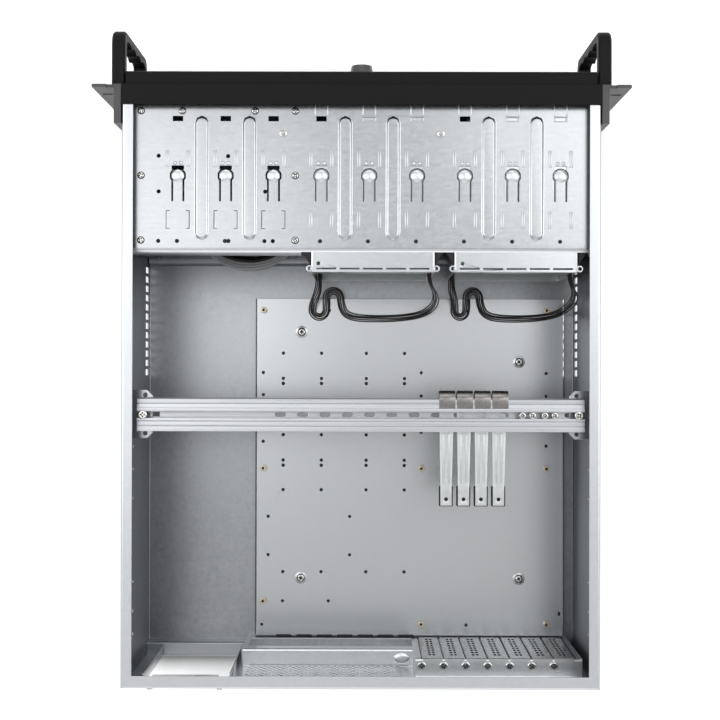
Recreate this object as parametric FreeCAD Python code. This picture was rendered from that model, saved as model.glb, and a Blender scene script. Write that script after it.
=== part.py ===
import FreeCAD, Part
import math
import os

# A 4U rackmount server case with its lid off. The front faces -Y and +Z is up.
# The origin lies on the floor plane, in the middle of the outer box.

# Outer sizes
RACK_WIDTH = 482.6
CASE_WIDTH = 428.0
CASE_HEIGHT = 176.0
CASE_DEPTH = 540.0
HANDLE_REACH = 50.0
SCREW_HEAD_HEIGHT = 2.0
OVERALL_DEPTH = HANDLE_REACH + CASE_DEPTH + SCREW_HEAD_HEIGHT
RACK_Y = HANDLE_REACH - OVERALL_DEPTH / 2
REAR_Y = RACK_Y + CASE_DEPTH

# Sheet metal
SHEET = 1.2
BEND = 1.0
RIM_WIDTH = 10.0
WALL_X = CASE_WIDTH / 2 - SHEET
FIT = 0.3

# Side wall vents, near the floor
VENT_COUNT = 12
VENT_PITCH = 9.2
VENT_LENGTH = 6.0
VENT_BOTTOM = 8.0
VENT_HEIGHT = 20.0
VENT_FIRST_Y = -92.0

# Front frame, door and control strip
FRAME_SHEET = 1.5
FRAME_LIP = 1.0
FRAME_DEPTH = 18.5
DOOR_THICKNESS = 12.0
DOOR_SHEET = 1.5
DOOR_SIDE_GAP = 0.8
DOOR_BOTTOM = 4.0
DOOR_TOP = 173.0
DOOR_PIVOT_Z = 7.5
DOOR_CORNER = 3.0
HINGE_PIN_RADIUS = 1.5
PIN_RUNNING_GAP = 0.05
HINGE_LUG_WIDTH = 4.0
HINGE_LUG_RADIUS = 3.8
HINGE_LUG_SIDES = 12
DOOR_SLOT_COLUMNS = 16
DOOR_SLOT_WIDTH = 5.0
DOOR_SLOT_HEIGHT = 104.0
DOOR_SLOT_PITCH = 22.0
DOOR_SLOT_FIRST_Z = 24.0

# Lock in the middle of the door
LOCK_Z = 154.0
LOCK_BEZEL_RADIUS = 10.8
LOCK_BEZEL_HEIGHT = 8.0
LOCK_BEZEL_TAPER = 1.6
LOCK_BARREL_RADIUS = 8.0
LOCK_PLUG_RADIUS = 6.0
LOCK_PLUG_GAP = 0.05
LOCK_CAM_LENGTH = 17.0
LOCK_CAM_WIDTH = 10.0
LOCK_CAM_SHEET = 2.0
LOCK_CAM_BEHIND = 1.2
KEY_SLOT_WIDTH = 1.6
KEY_SLOT_LENGTH = 7.0
KEY_SLOT_DEPTH = 5.0

# Drive bays, nine upright ones side by side
BAY_COUNT = 9
BAY_PITCH = 43.1
BAY_CENTRE_X = -7.0
BAY_HEIGHT = 146.6
PLATE_SHEET = 1.0
PLATE_TOP_Z = 163.0
PLATE_FRONT_Y = RACK_Y + 9.0
PLATE_REAR_Y = -94.0
PLATE_ROLL = 8.0
PLATE_BEND = 6.0
PLATE_SIDE_FLANGE = 12.0
BAY_FLOOR_Z = PLATE_TOP_Z - PLATE_SHEET - BAY_HEIGHT
FINGER_ROOT_Y = -142.5
FINGER_DISC_Y = -165.5
FINGER_DISC_RADIUS = 6.0
FINGER_GAP = 1.5
FINGER_HALF_WIDTH = 4.3
STUD_X = (70.4, -71.6)
STUD_Y = -203.8
STUD_RADIUS = 1.7
STUD_HEIGHT = 8.0
BEAD_WIDTH = 12.0
BEAD_HEIGHT = 1.4
BEAD_SLOPE = 1.2
BEAD_FRONT_Y = -219.0
BEAD_REAR_Y = -108.0
BAY_WINDOW_Y = -217.0
BAY_WINDOW_LENGTH = 9.4
BAY_WINDOW_WIDTH = 4.7
DIVIDER_FLANGE = 9.0
DIVIDER_OUTER_X = 194.1
DIVIDER_INNER_X = 55.0
DIVIDER_REAR_Y = -101.5
DIVIDER_WINDOW_FRONT_Y = -206.0
DIVIDER_WINDOW_LENGTH = 50.0
DIVIDER_WINDOW_HEIGHT = 40.0

# Bay covers and cage bezels behind the door
COVER_FACE_Y = PLATE_FRONT_Y
COVER_DEPTH = 10.0
COVER_WALL = 1.8
COVER_GAP = 0.4
COVER_COLUMNS = 3
BEZEL_COLUMNS = 8
COVER_SLOT_PITCH = 13.0
COVER_SLOT_WIDTH = 4.0
COVER_SLOT_ROWS = 2
COVER_SLOT_FIRST = 12.0
COVER_SLOT_HEIGHT = 56.0
COVER_SLOT_ROW_PITCH = 66.0

# Drive cages, each three bays wide
CAGE_WIDTH = 112.8
CAGE_RAIL_WIDTH = 8.0
CAGE_OFFSET_X = -3.6
CAGE_FRONT_Y = COVER_FACE_Y + COVER_DEPTH
DIVIDER_FRONT_Y = CAGE_FRONT_Y
CAGE_REAR_Y = -79.0
CAGE_CLEARANCE = 0.3
CAGE_SLOT_LENGTH = 18.0
CAGE_SLOT_PITCH = 21.0
CAGE_SLOT_COUNT = 5
CAGE_SLOT_WIDTH = 1.4
CAGE_REAR_FLANGE = 22.0
CAGE_SIDE_SLOTS = 3
CAGE_SIDE_FIRST = 28.0
CAGE_SIDE_PITCH = 36.0
CAGE_SIDE_SLOT = 9.0
CAGE_RAIL_TAPER = 12.0
CAGE_RAIL_HEIGHT = 40.0
CAGE_EAR_RADIUS = 3.2
CAGE_EAR_HOLE = 1.8
BACKPLANE_THICKNESS = 1.6
BACKPLANE_Y = CAGE_REAR_Y - 14.0
BACKPLANE_WINDOW_Z = 34.0
BACKPLANE_WINDOW_PITCH = 42.0
BACKPLANE_WINDOW_LENGTH = 62.0
BACKPLANE_WINDOW_HEIGHT = 20.0
SOCKET_SIZE = (6.0, 6.0, 14.0)
SOCKET_OFFSET_X = 52.0
SOCKET_LOW_Z = 45.0
SOCKET_HIGH_Z = 132.0

# Control strip
PANEL_X = 199.5
PANEL_WIDTH = 14.0
PANEL_BOTTOM = 22.0
PANEL_TOP = 158.0
PANEL_FACE_Y = RACK_Y + FRAME_SHEET
PANEL_DEPTH = 9.0
PANEL_LAP = 1.5
PANEL_CORNER = 2.0
POWER_RADIUS = 5.0
RESET_RADIUS = 2.5
BUTTON_GAP = 0.3
BUTTON_STANDOUT = 1.2
BUTTON_TRAVEL = 1.0
BUTTON_FLANGE = 1.0
BUTTON_SHELF = 3.0
BUTTON_SIDES = 16
BOARD_THICKNESS = 1.6
POWER_Z = 142.0
RESET_Z = 124.0
LIGHT_RADIUS = 1.5
LIGHT_STANDOUT = 0.4
LIGHT_FIRST_Z = 110.0
LIGHT_PITCH = 8.0
LIGHT_COUNT = 3
USB_WIDTH = 5.6
USB_HEIGHT = 13.0
USB_FIRST_Z = 48.0
USB_PITCH = 24.0
USB_COUNT = 2
USB_WALL = 0.5

# Handles and rack ears
EAR_THICKNESS = 3.0
EAR_LEG_THICKNESS = 6.4
EAR_LEG_DEPTH = 35.0
EAR_SLOT_WIDTH = 6.8
EAR_SLOT_LENGTH = 10.3
EAR_HOLE_SPACING_X = 465.1
EAR_HOLE_SPACING_Z = 101.6
EAR_HOLE_TOP_Z = 139.0
EAR_NOTCH_REACH = 13.0
EAR_NOTCH_DEPTH = 3.0
HANDLE_INNER_X = 212.0
HANDLE_WIDTH = 12.0
HANDLE_BOTTOM = 30.0
HANDLE_TOP = 172.0
HANDLE_ARM = 11.0
HANDLE_GRIP = 11.0
HANDLE_CORNER = 13.0
HANDLE_EDGE = 1.6
FINGER_WAVES = 4
FINGER_WAVE_DEPTH = 3.2

# Motherboard tray and ATX standoffs
TRAY_LEFT_X = 105.6
TRAY_RIGHT_X = -202.8
TRAY_FRONT_Y = -61.5
TRAY_REAR_Y = 274.0
TRAY_TOP_Z = 10.5
STANDOFF_HEIGHT = 6.5
STANDOFF_ACROSS = 5.5
STANDOFF_BORE = 1.25
STANDOFF_FLOOR = 1.0
BOARD_HOLE_X = -184.5
BOARD_HOLE_Y = 262.4
BOARD_SPAN_X = 124.46
BOARD_FULL_SPAN_X = 281.94
BOARD_SPAN_Y = 154.94
BOARD_LEFT_STEP = 22.86
BOARD_EXTRA_SPAN = 157.48
TRAY_HOLE_RADIUS = 1.8
COOLER_PAIR = 38.1
COOLER_COLUMNS = (77.8, -5.0)
COOLER_ROWS = (-7.1, 18.1, 74.2, 99.5, 129.1, 210.9)

# Rear panel
INSET_Y = 276.0
REAR_FLANGE = 11.3
SUPPLY_LEFT_X = 196.0
SUPPLY_RIGHT_X = 118.0
SUPPLY_WALL_X = 112.8
SUPPLY_BOTTOM = 18.0
SUPPLY_TOP = 163.0
SUPPLY_CHAMFER = 9.0
SUPPLY_SILL_Y = 280.0
SUPPLY_SILL_Z = 17.0
IO_LEFT_X = 108.4
IO_WIDTH = 158.75
IO_HEIGHT = 44.45
IO_BOTTOM = 15.0
IO_LEDGE_Z = 74.0
IO_RIGHT_WALL_X = -51.2
SLOT_PITCH = 20.32
SLOT_COUNT = 7
SLOT_FIRST_X = -66.9
SLOT_OPENING = 12.7
SLOT_SHELF_Z = 124.0
SLOT_BOTTOM_Z = 13.0
SLOT_END_WALL_X = -204.0
COVER_STRIP_WIDTH = 18.42
COVER_STRIP_SHEET = 0.9
COVER_STRIP_LAP = 4.0
COVER_DASH_FIRST = 9.0
COVER_TAB = 11.4
COVER_NOTCH = 1.4
COVER_NOTCH_LENGTH = 4.0
SLOT_SCREW_Y = INSET_Y + 6.4
COVER_DASH_COUNT = 5
COVER_DASH_PITCH = 19.0
COVER_DASH_LENGTH = 6.5
COVER_DASH_WIDTH = 2.4
REAR_VENT_COUNT = 9
REAR_VENT_PITCH = 16.6
REAR_VENT_WIDTH = 9.0
REAR_VENT_BOTTOM = 92.0
REAR_VENT_HEIGHT = 60.0
REAR_VENT_INSET = 14.0

# Crossbar, its brackets and the card clamps
BAR_FRONT_Y = 34.7
BAR_WIDTH = 30.3
BAR_HEIGHT = 16.0
BAR_TOP_Z = 159.0
BAR_HALF_LENGTH = 202.5
BAR_RAIL = 12.4
BAR_CHANNEL = 6.0
BAR_CHANNEL_FLOOR = 2.0
BAR_LIP = 1.6
BAR_UNDERCUT = 2.2
BAR_WALL = 1.5
BAR_EASE = 1.2
BAR_STEP = 1.4
BAR_STEP_WIDTH = 9.2
BAR_HOLE_COUNT = 14
BAR_HOLE_PITCH = 20.32
BAR_HOLE_FIRST_X = 73.4
BAR_HOLE_LENGTH = 10.4
BAR_HOLE_WIDTH = 4.0
BRACKET_SHEET = 1.5
BRACKET_INNER_X = 190.0
BRACKET_LENGTH = 44.0
BRACKET_LEG = 16.0
BRACKET_CORNER = 5.0
BRACKET_HOLE_RADIUS = 2.2
BRACKET_HOLE_INSET = 4.5
BAR_SCREW_X = 197.0
CLAMP_COUNT = 4
CLAMP_FIRST_X = -78.2
CLAMP_PITCH = 16.0
CLAMP_ROLL_WIDTH = 14.6
CLAMP_SHEET = 0.8
CLAMP_ARM_WIDTH = 13.0
CLAMP_TIP_WIDTH = 10.4
CLAMP_TIP_Y = 133.2
CLAMP_BOOT_Y = 115.5
CLAMP_TIP_Z = 138.0
CLAMP_HOLE_Y = 127.4
CLAMP_HOLE_RADIUS = 1.9
FOOT_WIDTH = 12.4
FOOT_LENGTH = 18.4
FOOT_DROP = 9.0

# Fasteners
SCREW_HEAD_RADIUS = 3.6
SCREW_SHANK_RADIUS = 1.5
SCREW_SHANK_LENGTH = 5.0
SLOT_SCREW_HEAD = 4.1
BAR_SCREW_HEAD = 4.4
SPARE_SCREW_HEAD = 3.1
SPARE_SCREW_X = (-146.0, -155.0, -166.2, -175.1)
DIVIDER_SCREW_Y = (-224.0, -165.7, -107.3)
PLATE_SCREW_X = (161.4, 95.9)
TRAY_SCREWS = ((59.6, -28.4), (-157.3, 1.1), (59.9, 216.8), (-157.3, 217.3))
TRAY_SCREW_HEAD = 4.4
REAR_SCREW_X = (188.5, 126.0)
REAR_SCREW_Z = 169.0

# Leads and harnesses
CORD_SIDES = 5
LEAD_RADIUS = 2.0
HARNESS_RADIUS = 1.9
COIL_X = 111.0
COIL_Y = -116.4
COIL_HALF_LENGTH = 45.0
COIL_HALF_WIDTH = 28.0
COIL_BAND = 15.0
COIL_SIDES = 20
COIL_HEIGHT = 8.2
COIL_FLOOR_Z = BAY_FLOOR_Z + PLATE_SHEET + 0.1
LEAD_EXIT_Y = PANEL_FACE_Y + PANEL_DEPTH + BOARD_THICKNESS
CONNECTOR_SIZE = (15.0, 9.0, 6.0)
CONNECTOR_GRIP = 1.0


def vec(x, y, z):
    return FreeCAD.Vector(x, y, z)


UP = vec(0, 0, 1)
ALONG = vec(1, 0, 0)
BACK = vec(0, 1, 0)


def box(x0, x1, y0, y1, z0, z1):
    return Part.makeBox(abs(x1 - x0), y1 - y0, z1 - z0, vec(min(x0, x1), y0, z0))


def rod(radius, start, axis, length):
    return Part.makeCylinder(radius, length, start, axis)


# Small repeated rounds have few sides, so that the whole case stays light
def small_rod(radius, start, axis, length, sides=10):
    flat = vec(1, 0, 0) if abs(axis.x) < 0.5 else vec(0, 0, 1)
    other = axis.cross(flat).normalize()
    turns = [2 * math.pi * (index + 0.5) / sides for index in range(sides + 1)]
    ring = [start + flat * (radius * math.cos(turn)) + other * (radius * math.sin(turn)) for turn in turns]
    return Part.Face(Part.makePolygon(ring)).extrude(axis * length)


def on_xy(z):
    return lambda u, v: vec(u, v, z)


def on_xz(y):
    return lambda u, v: vec(u, y, v)


def on_yz(x):
    return lambda u, v: vec(x, u, v)


# A closed outline through corners (u, v) or (u, v, radius), with true arcs at the rounded ones
def outline(corners, place):
    edges = []
    ends = []
    count = len(corners)
    for index, corner in enumerate(corners):
        here = place(corner[0], corner[1])
        radius = corner[2] if len(corner) > 2 else 0.0
        if radius <= 0:
            ends.append((here, here))
            continue
        before = place(*corners[index - 1][:2]).sub(here).normalize()
        after = place(*corners[(index + 1) % count][:2]).sub(here).normalize()
        half = before.getAngle(after) / 2
        start = here + before * (radius / math.tan(half))
        end = here + after * (radius / math.tan(half))
        middle = here + (before + after).normalize() * (radius / math.sin(half) - radius)
        ends.append((start, end))
        edges.append((index, Part.Arc(start, middle, end).toShape()))
    arcs = dict(edges)
    chain = []
    for index in range(count):
        if index in arcs:
            chain.append(arcs[index])
        leave = ends[index][1]
        arrive = ends[(index + 1) % count][0]
        if leave.distanceToPoint(arrive) > 1e-6:
            chain.append(Part.LineSegment(leave, arrive).toShape())
    return Part.Wire(chain)


def prism(corners, place, sweep):
    return Part.Face(outline(corners, place)).extrude(sweep)


def rectangle(u0, u1, v0, v1, radius=0.0):
    return [(u0, v0, radius), (u1, v0, radius), (u1, v1, radius), (u0, v1, radius)]


# A folded sheet's section: the path is one face and the metal lies on its left
def folded(path, thickness, bend):
    face = []
    back = []
    for index, point in enumerate(path):
        here = vec(point[0], point[1], 0)
        steps = []
        if index > 0:
            steps.append((here - vec(*path[index - 1], 0)).normalize())
        if index < len(path) - 1:
            steps.append((vec(*path[index + 1], 0) - here).normalize())
        lefts = [vec(-step.y, step.x, 0) for step in steps]
        side = lefts[0] + lefts[-1]
        shift = side * (thickness / (1 + lefts[0].dot(lefts[-1])))
        turn = steps[0].cross(steps[-1]).z
        outer = bend + thickness
        radii = (0.0, 0.0)
        if turn > 1e-6:
            radii = (outer, bend)
        if turn < -1e-6:
            radii = (bend, outer)
        face.append((here.x, here.y, radii[0]))
        back.append((here.x + shift.x, here.y + shift.y, radii[1]))
    return face + back[::-1]


# A slot with round ends, about its middle
def long_hole(centre, length, width, axis, normal, depth):
    half = (length - width) / 2
    across = normal.cross(axis).normalize()
    radius = width / 2
    one = centre - axis * half
    two = centre + axis * half
    edges = [
        Part.LineSegment(one + across * radius, two + across * radius).toShape(),
        Part.Arc(two + across * radius, two + axis * radius, two - across * radius).toShape(),
        Part.LineSegment(two - across * radius, one - across * radius).toShape(),
        Part.Arc(one - across * radius, one - axis * radius, one + across * radius).toShape(),
    ]
    return Part.Face(Part.Wire(edges)).extrude(normal * depth)


# The same with few-sided ends, for repeated slots
def small_slot(centre, length, width, axis, normal, depth):
    across = normal.cross(axis).normalize()
    radius = width / 2
    turns = [math.radians(angle) for angle in (-90, -30, 30, 90)]
    ring = []
    for side in (1, -1):
        middle = centre + axis * (side * (length - width) / 2)
        for turn in turns:
            ring.append(middle + axis * (side * radius * math.cos(turn)) + across * (side * radius * math.sin(turn)))
    return Part.Face(Part.makePolygon(ring + ring[:1])).extrude(normal * depth)


def fused(pieces):
    return pieces[0].fuse(pieces[1:]).removeSplitter()


def mirrored(shape):
    return shape.mirror(vec(0, 0, 0), ALONG)


def bay_x(index):
    return BAY_CENTRE_X + ((BAY_COUNT - 1) / 2 - index) * BAY_PITCH


PARTS = {}


def keep(name, shape):
    PARTS[name] = shape


# ---- chassis ----

def chassis_shell():
    half = CASE_WIDTH / 2
    rim = half - RIM_WIDTH
    path = [(-rim, CASE_HEIGHT), (-half, CASE_HEIGHT), (-half, 0), (half, 0), (half, CASE_HEIGHT), (rim, CASE_HEIGHT)]
    front = RACK_Y + FRAME_SHEET
    shell = prism(folded(path, SHEET, BEND), on_xz(front), BACK * (REAR_Y - front))
    vents = []
    for index in range(VENT_COUNT):
        y = VENT_FIRST_Y + index * VENT_PITCH
        vents.append(box(-half - 1, half + 1, y, y + VENT_LENGTH, VENT_BOTTOM, VENT_BOTTOM + VENT_HEIGHT))
    rear_rim = box(-WALL_X, WALL_X, REAR_Y - REAR_FLANGE, REAR_Y + 1, CASE_HEIGHT - BEND - SHEET, CASE_HEIGHT + 1)
    return shell.cut(vents + [rear_rim])


def tray_holes():
    places = []
    for column in COOLER_COLUMNS:
        for x in (column, column - COOLER_PAIR):
            for y in COOLER_ROWS:
                places.append((x, y))
    return places


# The first four make the rectangle that every board of this size uses
def standoff_places():
    left_x = BOARD_HOLE_X + BOARD_FULL_SPAN_X
    middle_x = BOARD_HOLE_X + BOARD_SPAN_X
    middle_y = BOARD_HOLE_Y - BOARD_SPAN_Y
    front_y = middle_y - BOARD_EXTRA_SPAN
    return [
        (BOARD_HOLE_X, BOARD_HOLE_Y), (BOARD_HOLE_X, middle_y), (middle_x, BOARD_HOLE_Y), (middle_x, middle_y),
        (BOARD_HOLE_X, front_y), (left_x, BOARD_HOLE_Y - BOARD_LEFT_STEP), (left_x, middle_y), (left_x, front_y),
    ]


def motherboard_tray():
    path = [(TRAY_RIGHT_X, SHEET), (TRAY_RIGHT_X, TRAY_TOP_Z), (TRAY_LEFT_X, TRAY_TOP_Z), (TRAY_LEFT_X, SHEET)]
    section = folded(path[::-1], SHEET, BEND)
    tray = prism(section, on_xz(TRAY_FRONT_Y), BACK * (TRAY_REAR_Y - TRAY_FRONT_Y))
    front = box(TRAY_RIGHT_X + 3, TRAY_LEFT_X - 3, TRAY_FRONT_Y, TRAY_FRONT_Y + SHEET, SHEET, TRAY_TOP_Z - SHEET)
    tray = fused([tray, front])
    holes = []
    for x, y in tray_holes():
        holes.append(small_rod(TRAY_HOLE_RADIUS, vec(x, y, TRAY_TOP_Z - 2 * SHEET), UP, 3 * SHEET, 6))
    return tray.cut(holes)


def standoffs():
    posts = []
    for index, (x, y) in enumerate(standoff_places()):
        hexagon = Part.makePolygon([
            vec(x + STANDOFF_ACROSS / math.sqrt(3) * math.cos(math.radians(60 * k)),
                y + STANDOFF_ACROSS / math.sqrt(3) * math.sin(math.radians(60 * k)), TRAY_TOP_Z)
            for k in range(7)])
        post = Part.Face(hexagon).extrude(UP * STANDOFF_HEIGHT)
        bore = rod if index < 4 else small_rod
        posts.append(post.cut(bore(STANDOFF_BORE, vec(x, y, TRAY_TOP_Z + STANDOFF_FLOOR), UP, STANDOFF_HEIGHT)))
    return Part.makeCompound(posts)


# ---- rear panel ----

def rear_panel():
    top = CASE_HEIGHT
    flange_y = REAR_Y - REAR_FLANGE
    floor = SHEET
    outer_wall = [(flange_y, top), (REAR_Y, top), (REAR_Y, floor)]
    stepped = [(flange_y, top), (REAR_Y, top)]
    io_path = stepped + [(REAR_Y, IO_LEDGE_Z), (INSET_Y + SHEET, IO_LEDGE_Z), (INSET_Y + SHEET, floor)]
    shelf = SLOT_SHELF_Z - SHEET
    slot_path = stepped + [(REAR_Y, shelf), (INSET_Y + SHEET, shelf), (INSET_Y + SHEET, floor)]

    def stretch(path, x0, x1):
        return prism(folded(path[::-1], SHEET, BEND), on_yz(x1), ALONG * (x0 - x1))

    pieces = [
        stretch(outer_wall, WALL_X, SUPPLY_WALL_X),
        stretch(io_path, SUPPLY_WALL_X, IO_RIGHT_WALL_X),
        stretch(slot_path, IO_RIGHT_WALL_X, SLOT_END_WALL_X),
        stretch(outer_wall, SLOT_END_WALL_X, -WALL_X),
    ]
    pieces.append(box(SUPPLY_WALL_X, SUPPLY_WALL_X + SHEET, INSET_Y, REAR_Y - SHEET, floor, IO_LEDGE_Z + SHEET))
    pieces.append(box(IO_RIGHT_WALL_X, IO_RIGHT_WALL_X + SHEET, INSET_Y, REAR_Y - SHEET, floor, SLOT_SHELF_Z))
    pieces.append(box(SLOT_END_WALL_X - SHEET, SLOT_END_WALL_X, INSET_Y, REAR_Y - SHEET, floor, SLOT_SHELF_Z))
    sill = [(SUPPLY_SILL_Y, floor), (SUPPLY_SILL_Y, SUPPLY_SILL_Z), (REAR_Y - SHEET / 2, SUPPLY_SILL_Z)]
    pieces.append(prism(folded(sill[::-1], SHEET, BEND), on_yz(SUPPLY_WALL_X + SHEET), ALONG * (WALL_X - SUPPLY_WALL_X - SHEET)))
    panel = fused(pieces)

    cuts = []
    chamfer = SUPPLY_CHAMFER
    cuts.append(prism([
        (SUPPLY_RIGHT_X, SUPPLY_BOTTOM), (SUPPLY_LEFT_X, SUPPLY_BOTTOM),
        (SUPPLY_LEFT_X, SUPPLY_TOP - chamfer), (SUPPLY_LEFT_X - chamfer, SUPPLY_TOP),
        (SUPPLY_RIGHT_X + chamfer, SUPPLY_TOP), (SUPPLY_RIGHT_X, SUPPLY_TOP - chamfer),
    ], on_xz(REAR_Y - 2 * SHEET), BACK * 4 * SHEET))
    cuts.append(box(IO_LEFT_X - IO_WIDTH, IO_LEFT_X, INSET_Y - 1, INSET_Y + 2 * SHEET, IO_BOTTOM, IO_BOTTOM + IO_HEIGHT))
    for index in range(SLOT_COUNT):
        x = SLOT_FIRST_X - index * SLOT_PITCH
        cuts.append(box(x - SLOT_OPENING / 2, x + SLOT_OPENING / 2, INSET_Y - 1, INSET_Y + 2 * SHEET,
                        SLOT_BOTTOM_Z, SLOT_SHELF_Z - 4))
    for index in range(REAR_VENT_COUNT):
        x = SUPPLY_WALL_X - REAR_VENT_INSET - index * REAR_VENT_PITCH
        cuts.append(box(x - REAR_VENT_WIDTH / 2, x + REAR_VENT_WIDTH / 2, REAR_Y - 2 * SHEET, REAR_Y + 1,
                        REAR_VENT_BOTTOM, REAR_VENT_BOTTOM + REAR_VENT_HEIGHT))
    for x0, x1 in ((WALL_X - BEND, WALL_X + 1), (-WALL_X - 1, BEND - WALL_X)):
        cuts.append(box(x0, x1, INSET_Y, REAR_Y + 1, 0, SHEET + BEND))
    return panel.cut(cuts)


def slot_cover(x):
    face = INSET_Y - COVER_STRIP_SHEET
    top = SLOT_SHELF_Z + COVER_STRIP_SHEET
    low = SLOT_BOTTOM_Z - COVER_STRIP_LAP
    upright = [(face, low), (face, top), (INSET_Y + COVER_TAB, top),
               (INSET_Y + COVER_TAB, SLOT_SHELF_Z), (INSET_Y, SLOT_SHELF_Z), (INSET_Y, low)]
    strip = prism(upright, on_yz(x - COVER_STRIP_WIDTH / 2), ALONG * COVER_STRIP_WIDTH)
    cuts = []
    for index in range(COVER_DASH_COUNT):
        z = SLOT_BOTTOM_Z + COVER_DASH_FIRST + index * COVER_DASH_PITCH
        cuts.append(box(x - COVER_DASH_LENGTH / 2, x + COVER_DASH_LENGTH / 2, INSET_Y - 2, INSET_Y + 1,
                        z, z + COVER_DASH_WIDTH))
    for side in (-1, 1):
        edge = x + side * COVER_STRIP_WIDTH / 2
        cuts.append(box(edge - side * COVER_NOTCH, edge + side, SLOT_SCREW_Y - COVER_NOTCH_LENGTH / 2,
                        SLOT_SCREW_Y + COVER_NOTCH_LENGTH / 2, SLOT_SHELF_Z - 1, SLOT_SHELF_Z + 2))
    return strip.cut(cuts)


# ---- drive bays ----

def bead_ring(x, shrink, z):
    radius = BEAD_WIDTH / 2 - shrink
    ring = []
    for side, end in ((-1, BEAD_FRONT_Y + BEAD_WIDTH / 2), (1, BEAD_REAR_Y - BEAD_WIDTH / 2)):
        for angle in (-90, -45, 0, 45, 90):
            turn = math.radians(angle)
            ring.append(vec(x - side * radius * math.sin(turn), end + side * radius * math.cos(turn), z))
    return Part.makePolygon(ring + ring[:1])


# A pressed bead with sloping sides: its solid, and the hollow under it
def bead(x, z, sheet):
    def loft(shrink, base):
        return Part.makeLoft([bead_ring(x, shrink, base), bead_ring(x, shrink + BEAD_SLOPE, base + BEAD_HEIGHT)], True, True)
    return loft(0.0, z), loft(sheet, z - sheet)


def bead_places():
    return [(bay_x(index) + bay_x(index + 1)) / 2 for index in (0, 1, 3, 4, 6, 7)]


# The gap round a spring finger: a tongue that ends in a round pad
def finger_gap(x):
    def keyhole(half, radius, root):
        stem = box(x - half, x + half, FINGER_DISC_Y, root, PLATE_TOP_Z - 2 * PLATE_SHEET, PLATE_TOP_Z + 1)
        pad = small_rod(radius, vec(x, FINGER_DISC_Y, PLATE_TOP_Z - 2 * PLATE_SHEET), UP, 2 * PLATE_SHEET + 1, 10)
        return stem.fuse(pad)
    around = keyhole(FINGER_HALF_WIDTH + FINGER_GAP, FINGER_DISC_RADIUS + FINGER_GAP, FINGER_ROOT_Y)
    return around.cut(keyhole(FINGER_HALF_WIDTH, FINGER_DISC_RADIUS, FINGER_ROOT_Y + 5))


# A bay plate: the rear edge and the sides turn down, and the beads stand up or hang down
def drive_plate(top_z, roll, side_flange, beads_up):
    path = [(PLATE_FRONT_Y, top_z), (PLATE_REAR_Y, top_z), (PLATE_REAR_Y, top_z - roll)]
    side = WALL_X - PLATE_SHEET
    pieces = [prism(folded(path[::-1], PLATE_SHEET, PLATE_BEND), on_yz(-side), ALONG * 2 * side)]
    for x0, x1 in ((side, WALL_X), (-WALL_X, -side)):
        pieces.append(box(x0, x1, RACK_Y + FRAME_DEPTH, PLATE_REAR_Y - PLATE_ROLL, top_z - side_flange, top_z))
    cuts = []
    for x in bead_places():
        solid, hollow = bead(x, top_z, PLATE_SHEET)
        if not beads_up:
            middle = vec(0, 0, top_z - PLATE_SHEET / 2)
            solid = solid.mirror(middle, UP)
            hollow = hollow.mirror(middle, UP)
        pieces.append(solid)
        cuts.append(hollow)
    half = BAY_WINDOW_LENGTH / 2
    for index in range(BAY_COUNT):
        x = bay_x(index)
        cuts.append(box(x - half, x + half, BAY_WINDOW_Y - BAY_WINDOW_WIDTH / 2,
                        BAY_WINDOW_Y + BAY_WINDOW_WIDTH / 2, top_z - 2 * PLATE_SHEET, top_z + 1))
    return fused(pieces).cut(cuts)


def drive_plate_top():
    plate = drive_plate(PLATE_TOP_Z, PLATE_ROLL, PLATE_SIDE_FLANGE, True)
    plate = plate.cut([finger_gap(bay_x(index)) for index in range(BAY_COUNT)])
    cage_left = cage_centre(1) + CAGE_WIDTH / 2 + CAGE_RAIL_WIDTH + FIT
    cage_right = cage_centre(2) - CAGE_WIDTH / 2 - CAGE_RAIL_WIDTH - FIT
    roll_front = PLATE_REAR_Y - PLATE_BEND - 2 * PLATE_SHEET
    plate = plate.cut(box(cage_right, cage_left, roll_front, PLATE_REAR_Y + 1,
                          PLATE_TOP_Z - PLATE_ROLL - 1, PLATE_TOP_Z - PLATE_SHEET))
    studs = [small_rod(STUD_RADIUS, vec(x, STUD_Y, PLATE_TOP_Z - PLATE_SHEET), UP, STUD_HEIGHT, 8) for x in STUD_X]
    return plate.fuse(studs)


def drive_plate_bottom():
    drop = BAY_FLOOR_Z - SHEET
    return drive_plate(BAY_FLOOR_Z, drop, drop - BEND, False)


# An upright panel with a flange at each end, and a window low down for the front leads
def bay_divider(x, window):
    top = PLATE_TOP_Z - PLATE_SHEET
    path = [(x + DIVIDER_FLANGE, top), (x, top), (x, BAY_FLOOR_Z), (x + DIVIDER_FLANGE, BAY_FLOOR_Z)]
    section = folded(path, PLATE_SHEET, BEND)
    divider = prism(section, on_xz(DIVIDER_FRONT_Y), BACK * (DIVIDER_REAR_Y - DIVIDER_FRONT_Y))
    if window:
        y = DIVIDER_WINDOW_FRONT_Y
        divider = divider.cut(box(x - 1, x + 2, y, y + DIVIDER_WINDOW_LENGTH,
                                  BAY_FLOOR_Z + 2 * PLATE_SHEET, BAY_FLOOR_Z + DIVIDER_WINDOW_HEIGHT))
    return divider


# ---- drive cages ----

def cage_centre(group):
    return bay_x(3 * group + 1) + CAGE_OFFSET_X


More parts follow.
